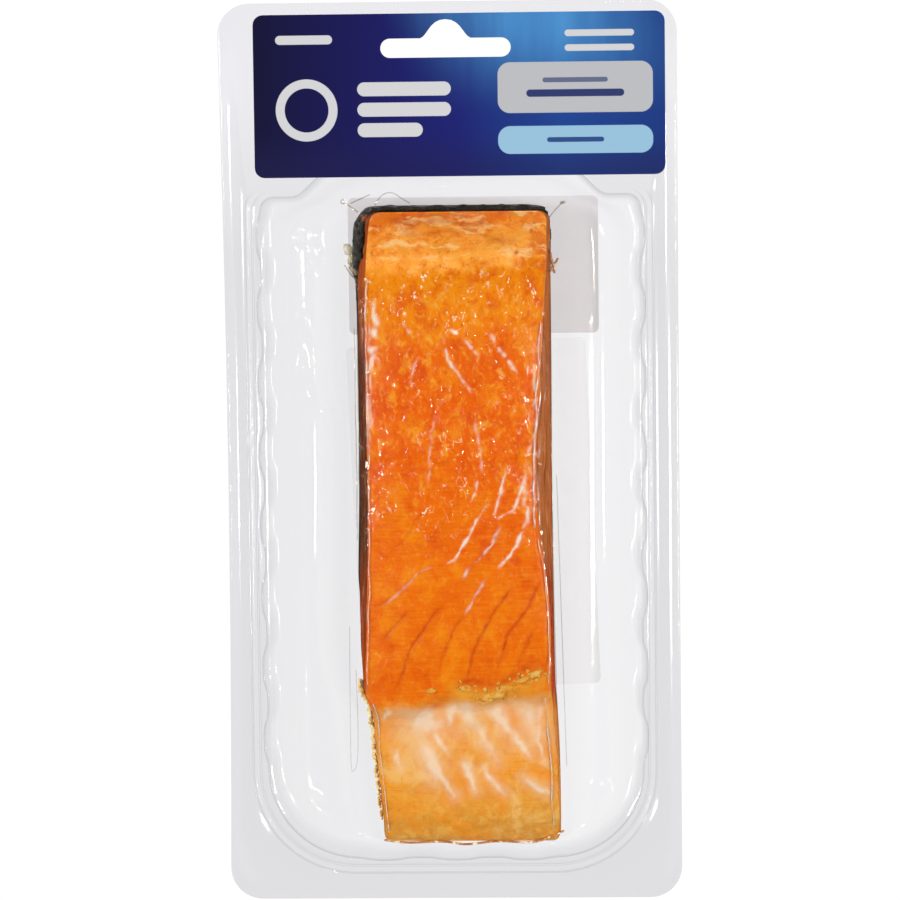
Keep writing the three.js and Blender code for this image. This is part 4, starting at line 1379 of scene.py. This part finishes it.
# brown juice along the film's wavy edge at the lower end, and the bit beside the right edge
juice = {
    "line": [(-18.0, -97.7), (-14, -98.0), (-10.6, -98.1), (-5, -97.6), (-1, -97.8), (1.4, -98.6),
             (5.8, -98.2), (9.0, -97.6), (13.5, -97.7), (18.7, -98.2), (22.4, -97.3),
             (25.2, -95.8), (27.0, -95.2)],
    "above": 0.1, "radius": 0.28,
    "bit": [
        ([(24.5, 50.8, 12.5), (25.3, 49.0, 13.0), (24.9, 47.4, 13.2), (26.2, 46.0, 12.8),
          (26.0, 44.6, 12.4)], 0.34),
        ([(26.9, 48.2, 12.4), (26.4, 47.0, 12.9), (25.4, 46.4, 13.0), (24.8, 44.8, 12.6)], 0.3),
    ],
    "light": 1.4, "glint": 1.2, "grain": 500,
    "stops": [(0.35, (176, 104, 48)), (0.52, (214, 146, 84))],
    # painted glints: a pale stop in the juice's colours
    "glintStop": [(0.6, (250, 232, 210))],
}


def juiceMaterial():
    material, tree = newMaterial("brownJuice")
    grain = noiseOf(tree, objectPlace(tree), juice["grain"])
    stops = shades(juice["stops"], juice["light"]) + shades(juice["glintStop"], juice["glint"])
    shown(tree, surfaceOf(tree, {"Base Color": ramp(tree, grain, stops), "Roughness": 0.15}))
    return material


juiceRuns = [(onFilm(juice["line"], juice["above"]), juice["radius"])] + juice["bit"]
threadPiece("juiceLine", juiceRuns, juiceMaterial())


# two greys mottled together, for the light that falls on the paper and for a painted glow, an
# emission standing in for the light of the table coming up through it, which is most of what it
# shows
paper = {
    "grain": 260, "mottle": (0.3, 0.7, 0, 0.35), "lights": (3, 1), "gloss": 0.65,
    "upper": [(236, 232, 231), (229, 225, 224)], "upperThrough": 0.73,
    "lower": [(246, 246, 245), (240, 240, 239)], "lowerThrough": 0.84,
}


def paperMaterial(name, colours, throughLight):
    material, tree = newMaterial(name)
    grain = noiseOf(tree, objectPlace(tree), paper["grain"], 3.0)
    mottle = ranged(tree, grain, *paper["mottle"])
    base, glow = (
        blended(tree, mottle, *(paint(colour, light) for colour in colours))
        for light in paper["lights"]
    )
    # the glow is painted light: the paper glows though it is no lamp
    shown(tree, surfaceOf(tree, {
        "Base Color": base, "Emission Color": glow, "Emission Strength": throughLight,
        "Roughness": paper["gloss"],
    }))
    return material


white, silver, sky = (232, 232, 234), (206, 207, 211), (166, 211, 240)
header = {
    "light": 1.75, "from": -0.0475, "to": 0.0535,
    "stops": [
        (0.0, (16, 14, 56)), (0.25, (26, 24, 96)), (0.5, (30, 36, 124)), (0.75, (34, 74, 158)),
        (1.0, (30, 62, 140)),
    ],
    # a paler glow behind the hang hole and to its right, in slanting streaks that fade downwards
    "glow": (84, 160, 226), "glowMiddle": 0.024, "glowReach": (0.038, 0.004), "slant": 0.35,
    "slantFrom": 0.1, "glowDown": (0.082, 0.108), "streaks": 150,
    "streakShare": (0.3, 0.7, 0.65, 1.0),
    "dusk": (34, 32, 84), "duskDown": (0.082, 0.069), "duskDeep": 0.55, "blur": 0.06,
    "fibre": 1400, "fibreBump": (0.25, 0.03),
    "finish": {"Roughness": 0.32, "Specular IOR Level": 0.15},
    # plain fields: middle, half size, corner radius, colour, and how wide a ring's band is
    "fields": [
        ((31.5, 90.2), (19, 6.2), 3, silver, 0), ((31.5, 77.4), (19, 3.4), 3, sky, 0),
        ((-34.5, 85.2), (7.6, 7.6), 7.6, white, 2.2), ((-10.5, 90.2), (11.5, 1.7), 1.7, white, 0),
        ((-10.5, 85.2), (11.5, 1.7), 1.7, white, 0), ((-14.0, 80.2), (8.0, 1.7), 1.7, white, 0),
        ((-35.0, 102.4), (7.0, 1.1), 1.1, white, 0), ((37.5, 103.4), (8.5, 0.8), 0.8, white, 0),
        ((37.5, 99.8), (8.5, 0.8), 0.8, white, 0), ((31.5, 88.8), (12, 0.9), 0.9, (54, 66, 120), 0),
        ((31.5, 92.0), (8, 0.6), 0.6, (110, 118, 150), 0),
        ((31.5, 77.4), (7, 0.6), 0.6, (54, 86, 150), 0),
    ],
}


def fieldMask(tree, x, y, middle, half, corner, band):
    # 1 inside a rounded field, 0 outside it
    blur = header["blur"] * mm
    squares = []
    for coordinate, centre, reach in zip((x, y), middle, half):
        away = apart(tree, coordinate, centre * mm)
        past = sums(tree, "MAXIMUM", sums(tree, "SUBTRACT", away, (reach - corner) * mm), 0.0)
        squares.append(times(tree, past, past))
    length = sums(tree, "SQRT", plus(tree, *squares))
    edge = sums(tree, "SUBTRACT", length, corner * mm)
    mask = ranged(tree, edge, blur, -blur)
    if band:
        hollow = (corner - band) * mm
        mask = times(tree, mask, ranged(tree, length, hollow - blur, hollow + blur))
    return mask


def printMaterial():
    material, tree = newMaterial("headerPrint")
    light = header["light"]
    place = objectPlace(tree)
    x, y, z = axesOf(tree, place)
    across = ranged(tree, x, header["from"], header["to"])
    colour = ramp(tree, across, shades(header["stops"], light))
    lean = times(tree, sums(tree, "SUBTRACT", y, header["slantFrom"]), header["slant"])
    away = apart(tree, plus(tree, x, lean), header["glowMiddle"])
    glow = ranged(tree, away, *header["glowReach"], 0, 1, True)
    glow = times(tree, glow, ranged(tree, y, *header["glowDown"], 0, 1, True))
    streaks = stretched(tree, place, (1, 0.12, 1), -20)
    streaks = noiseOf(tree, streaks, header["streaks"], 3.0, 0.6)
    glow = times(tree, glow, ranged(tree, streaks, *header["streakShare"]))
    colour = blended(tree, glow, colour, paint(header["glow"], light))
    dusk = ranged(tree, y, *header["duskDown"], 0, header["duskDeep"], True)
    colour = blended(tree, dusk, colour, paint(header["dusk"], light))
    for middle, half, corner, shade, band in header["fields"]:
        mask = fieldMask(tree, x, y, middle, half, corner, band)
        colour = blended(tree, mask, colour, paint(shade, light))
    normal = bumped(tree, noiseOf(tree, place, header["fibre"]), *header["fibreBump"])
    shown(tree, surfaceOf(tree, {"Base Color": colour, "Normal": normal, **header["finish"]}))
    return material


def dressNode(name, material):
    node = cadNodes[name]
    node.data.materials.clear()
    node.data.materials.append(material)


upperPaper = paperMaterial("upperLabelPaper", paper["upper"], paper["upperThrough"])
lowerPaper = paperMaterial("lowerLabelPaper", paper["lower"], paper["lowerThrough"])
dressNode("back_label_upper", upperPaper)
dressNode("back_label_lower", lowerPaper)
dressNode("header_label", printMaterial())
print("dressed the labels")

stage = {
    "floorHalf": 3.0, "floorGlow": 1.03,
    # the room's bright sides: how far to the side and how high they begin and are full
    "sides": (0.45, 0.8), "raised": (0.05, 0.35), "skyLow": 0.14, "skyHigh": 1.5,
    # each lamp's place, size and power
    "lamps": {
        "lampNearLeft": ((-0.52, -0.1, 0.92), 0.09, 2.0),
        "lampFarLeft": ((-0.74, 0.1, 0.8), 0.15, 5.2),
        "lampNearRight": ((0.48, 0.04, 0.92), 0.09, 2.2),
        "lampFarRight": ((0.74, -0.12, 0.8), 0.15, 5.2),
        "lampHead": ((0.06, 0.44, 0.92), 0.05, 0.22),
    },
}
photo = {
    "place": (0.03755, 0.09418, 1.0), "look": (-0.00025, 0.00109, 0.0136), "roll": -0.675,
    "lens": 160.29, "sensor": 36,
}


def floorPiece():
    # a light table, white all over
    material, tree = newMaterial("paleFloor")
    grain = noiseOf(tree, objectPlace(tree), 3)
    colour = blended(tree, grain, (0.99, 0.99, 0.995), (1, 1, 1))
    shown(tree, shader(tree, "ShaderNodeEmission", {
        "Color": colour, "Strength": stage["floorGlow"],
    }))
    bm = bmesh.new()
    bmesh.ops.create_grid(bm, x_segments=1, y_segments=1, size=stage["floorHalf"])
    meshObject("floor", bm, [material], rounded=False)


def lampAt(name, place, size, power):
    data = bpy.data.lights.new(name, "AREA")
    data.shape = "SQUARE"
    data.size = size
    data.energy = power
    lamp = bpy.data.objects.new(name, data)
    place = Vector(place)
    turned = place.to_track_quat("Z", "Y").to_matrix().to_4x4()
    lamp.matrix_world = Matrix.Translation(place) @ turned
    bpy.context.scene.collection.objects.link(lamp)


def softSky():
    # two tall bright sides, left and right of the pack, in a dim room
    world = bpy.data.worlds.new("softRoom")
    world.use_nodes = True
    tree = world.node_tree
    tree.nodes.clear()
    x, y, z = axesOf(tree, put(tree, "ShaderNodeTexCoord", {}).outputs["Generated"])
    side = ranged(tree, sums(tree, "ABSOLUTE", x), *stage["sides"], 0, 1, True)
    raised = ranged(tree, z, *stage["raised"], 0, 1, True)
    level = ranged(tree, times(tree, side, raised), 0, 1, stage["skyLow"], stage["skyHigh"])
    room = shader(tree, "ShaderNodeBackground", {"Color": (1, 1, 1), "Strength": level})
    backdrop = shader(tree, "ShaderNodeBackground", {"Color": (1, 1, 1)})
    seen = put(tree, "ShaderNodeLightPath", {}).outputs["Is Camera Ray"]
    both = mixedShader(tree, seen, room, backdrop)
    put(tree, "ShaderNodeOutputWorld", {"Surface": both})
    bpy.context.scene.world = world


def photoCamera():
    camera = bpy.data.cameras.new("photoCamera")
    camera.lens = photo["lens"]
    camera.sensor_width = photo["sensor"]
    cameraObject = bpy.data.objects.new("photoCamera", camera)
    bpy.context.scene.collection.objects.link(cameraObject)
    place, look = Vector(photo["place"]), Vector(photo["look"])
    back = (place - look).normalized()
    right = Vector((0, 1, 0)).cross(back).normalized()
    up = back.cross(right)
    roll = math.radians(photo["roll"])
    axisX = right * math.cos(roll) + up * math.sin(roll)
    axisY = up * math.cos(roll) - right * math.sin(roll)
    turned = Matrix((axisX, axisY, back)).transposed().to_4x4()
    cameraObject.matrix_world = Matrix.Translation(place) @ turned
    bpy.context.scene.camera = cameraObject


floorPiece()
for name, settings in stage["lamps"].items():
    lampAt(name, *settings)
softSky()
photoCamera()
bpy.context.scene.view_settings.view_transform = "Standard"
print("floor, light and camera are in place")
